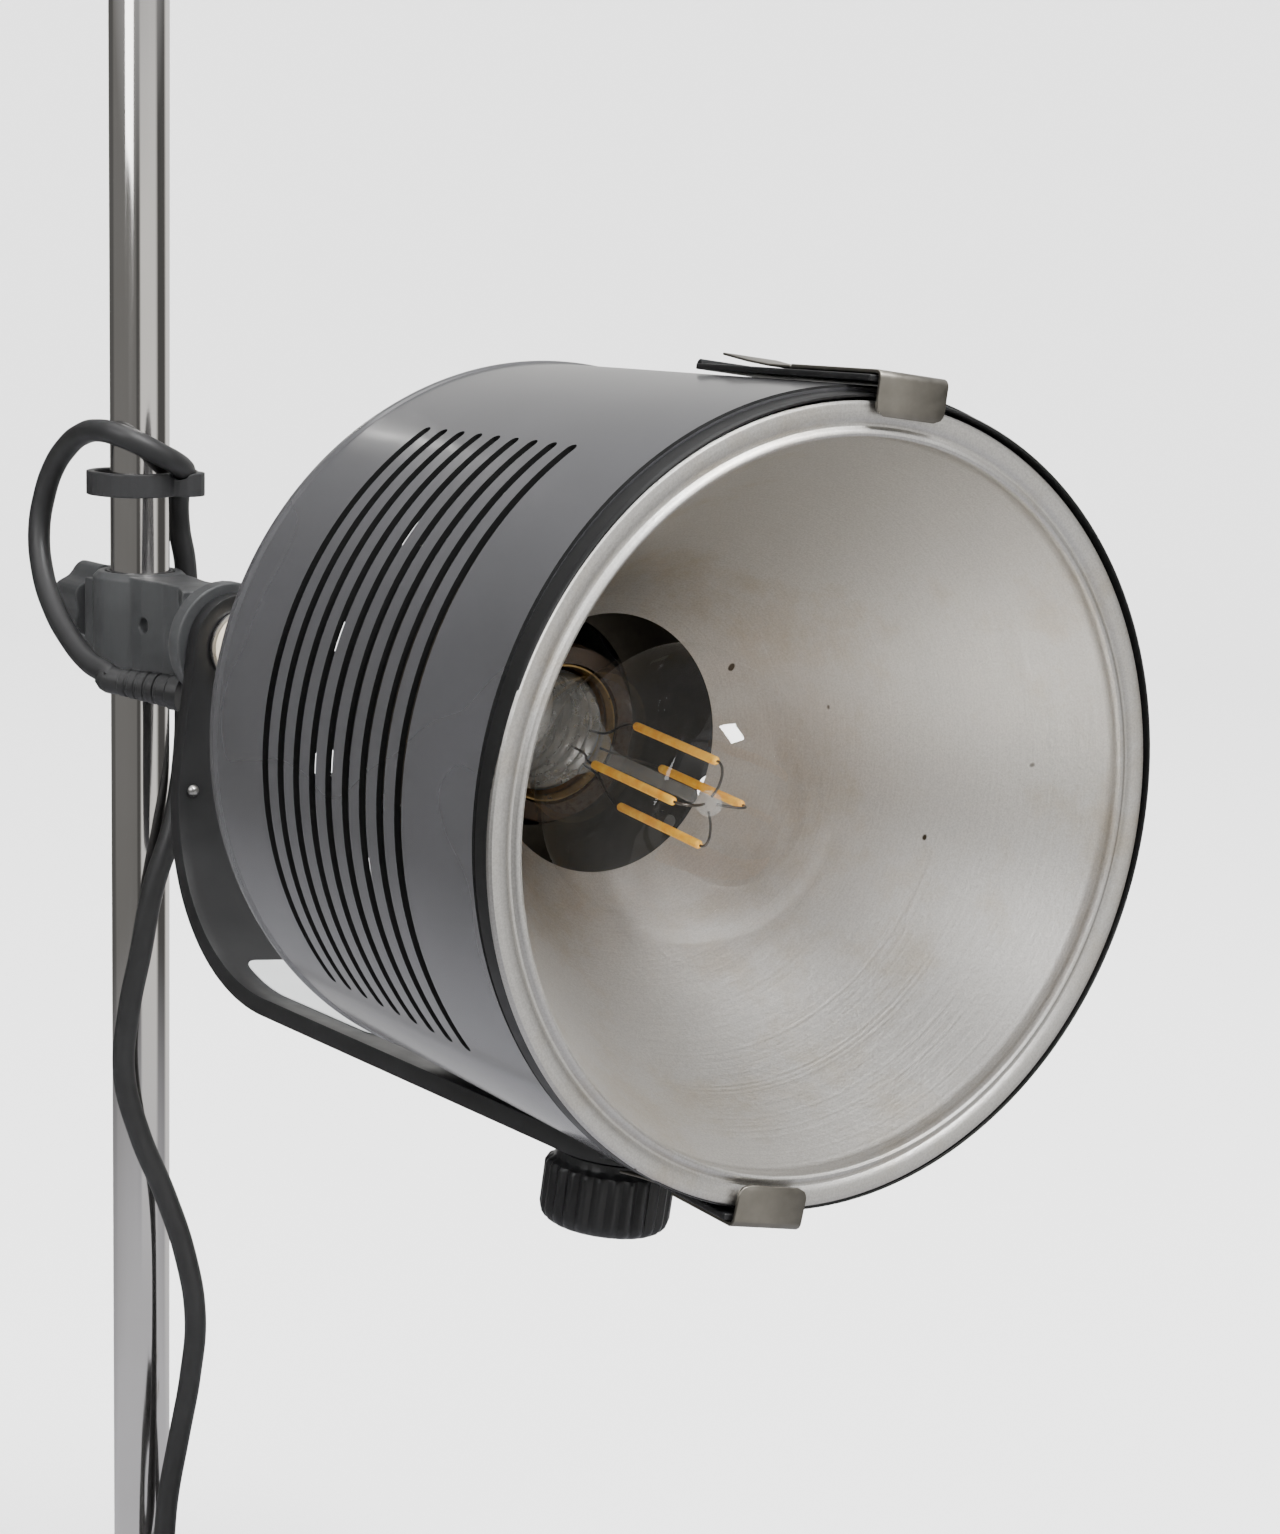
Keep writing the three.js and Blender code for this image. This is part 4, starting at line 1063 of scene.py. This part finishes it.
# Nodes that keep their CAD shape take the same finishes.
for part in frame["record"]["subparts"]:
    if part["node"] in ("clamp_liner", "pivot_bolt", "plug_pin_1", "plug_pin_2"):
        kept = frame["nodes"][part["node"]].data
        kept.materials.clear()
        kept.materials.append(MATERIALS[part["material_slot"]])


# ---------------------------------------------------------------- stage
def pale(name, value):
    n = Nodes(name, (value, value, value * 1.005), 0.9)
    n.colour(n.ramp(n.noise(0.8, 2), [(0.2, (value * 0.985,) * 3), (0.8, (value,) * 3)]))


def stage():
    """A pale floor that curves up into a round wall."""
    wall = [(0, 0), (500, 0), (1000, 0), (1500, 0), (2000, 0)]
    wall += [(2000 + s, 1000 - c) for c, s in (polar(1000, a) for a in range(6, 91, 6))]
    wall += [(3000, 2000), (3000, 3200)]
    shape = lathe(wall, 96, closed=False)
    mesh = as_mesh("floor", shape, UP)
    pale("floor_pale", 0.92)
    mesh.materials.append(MATERIALS["floor_pale"])
    for polygon in mesh.polygons:
        polygon.use_smooth = True
    floor = in_scene("floor", mesh)


# Azimuth in degrees and brightness of the studio's bright and dark screens.
ROOM = [(-180, 0.18), (-134, 0.17), (-130, 0.08), (-120, 0.08), (-114, 0.90), (-56, 0.90), (-44, 0.08),
        (-10, 0.08), (4, 1.0), (72, 1.0), (80, 0.10), (118, 0.10), (130, 0.18), (180, 0.18)]


def room():
    """A round studio seen only in glossy surfaces: bright screens with dark gaps between them."""
    n = Nodes("room_screens", (0, 0, 0), 1.0)
    place = n.add("ShaderNodeSeparateXYZ")
    n.link(n.coords.outputs["Object"], place.inputs["Vector"])
    around = n.add("ShaderNodeTexGradient", gradient_type="RADIAL")
    n.link(n.coords.outputs["Object"], around.inputs["Vector"])
    screens = n.ramp(around.outputs["Fac"], [((a + 180) / 360, (v, v * 0.985, v * 0.955)) for a, v in ROOM])
    low = n.ranged(place.outputs["Z"], -1.7, -0.9, 1, 0)
    high = n.ranged(place.outputs["Z"], 0.9, 1.6, 0, 1)
    floor_mix = n.add("ShaderNodeMix", data_type="RGBA")
    n.link(low, floor_mix.inputs["Factor"])
    n.link(screens, floor_mix.inputs["A"])
    floor_mix.inputs["B"].default_value = (0.62, 0.62, 0.66, 1)
    roof_mix = n.add("ShaderNodeMix", data_type="RGBA")
    n.link(high, roof_mix.inputs["Factor"])
    n.link(floor_mix.outputs["Result"], roof_mix.inputs["A"])
    roof_mix.inputs["B"].default_value = (0.55, 0.55, 0.56, 1)
    n.link(roof_mix.outputs["Result"], n.shader.inputs["Emission Color"])
    n.shader.inputs["Emission Strength"].default_value = 1.0
    shape = bmesh.new()
    bmesh.ops.create_uvsphere(shape, u_segments=64, v_segments=32, radius=2800)
    mesh = bpy.data.meshes.new("room")
    shape.to_mesh(mesh)
    shape.free()
    mesh.transform(Matrix.Scale(MM, 4))
    mesh.materials.append(n.material)
    thing = in_scene("room", mesh)
    thing.location = (0, 0, 0.3)
    thing.visible_camera = thing.visible_diffuse = thing.visible_shadow = thing.visible_transmission = False
    bpy.data.objects["floor"].visible_glossy = False


def lamp(name, place, aim, size, energy, colour=(1, 1, 1)):
    data = bpy.data.lights.new(name, "AREA")
    data.shape = "RECTANGLE"
    data.size, data.size_y = size
    data.energy = energy
    data.color = colour
    thing = in_scene(name, data)
    thing.location = place
    thing.rotation_euler = (Vector(aim) - Vector(place)).to_track_quat("-Z", "Y").to_euler()


def world():
    made = bpy.data.worlds.new("world")
    made.use_nodes = True
    made.node_tree.nodes["Background"].inputs["Color"].default_value = (1, 1, 1, 1)
    made.node_tree.nodes["Background"].inputs["Strength"].default_value = 2.7
    bpy.context.scene.world = made


stage()
room()
world()
lamp("window", (0.16, -1.2, 1.75), (0, -0.2, 0.3), (0.35, 0.6), 44)
lamp("key", (-1.7, -0.7, 1.6), (0, -0.15, 0.3), (1.2, 1.2), 24)
lamp("top", (0.2, 0.2, 2.3), (0, -0.1, 0.2), (1.6, 1.6), 24)
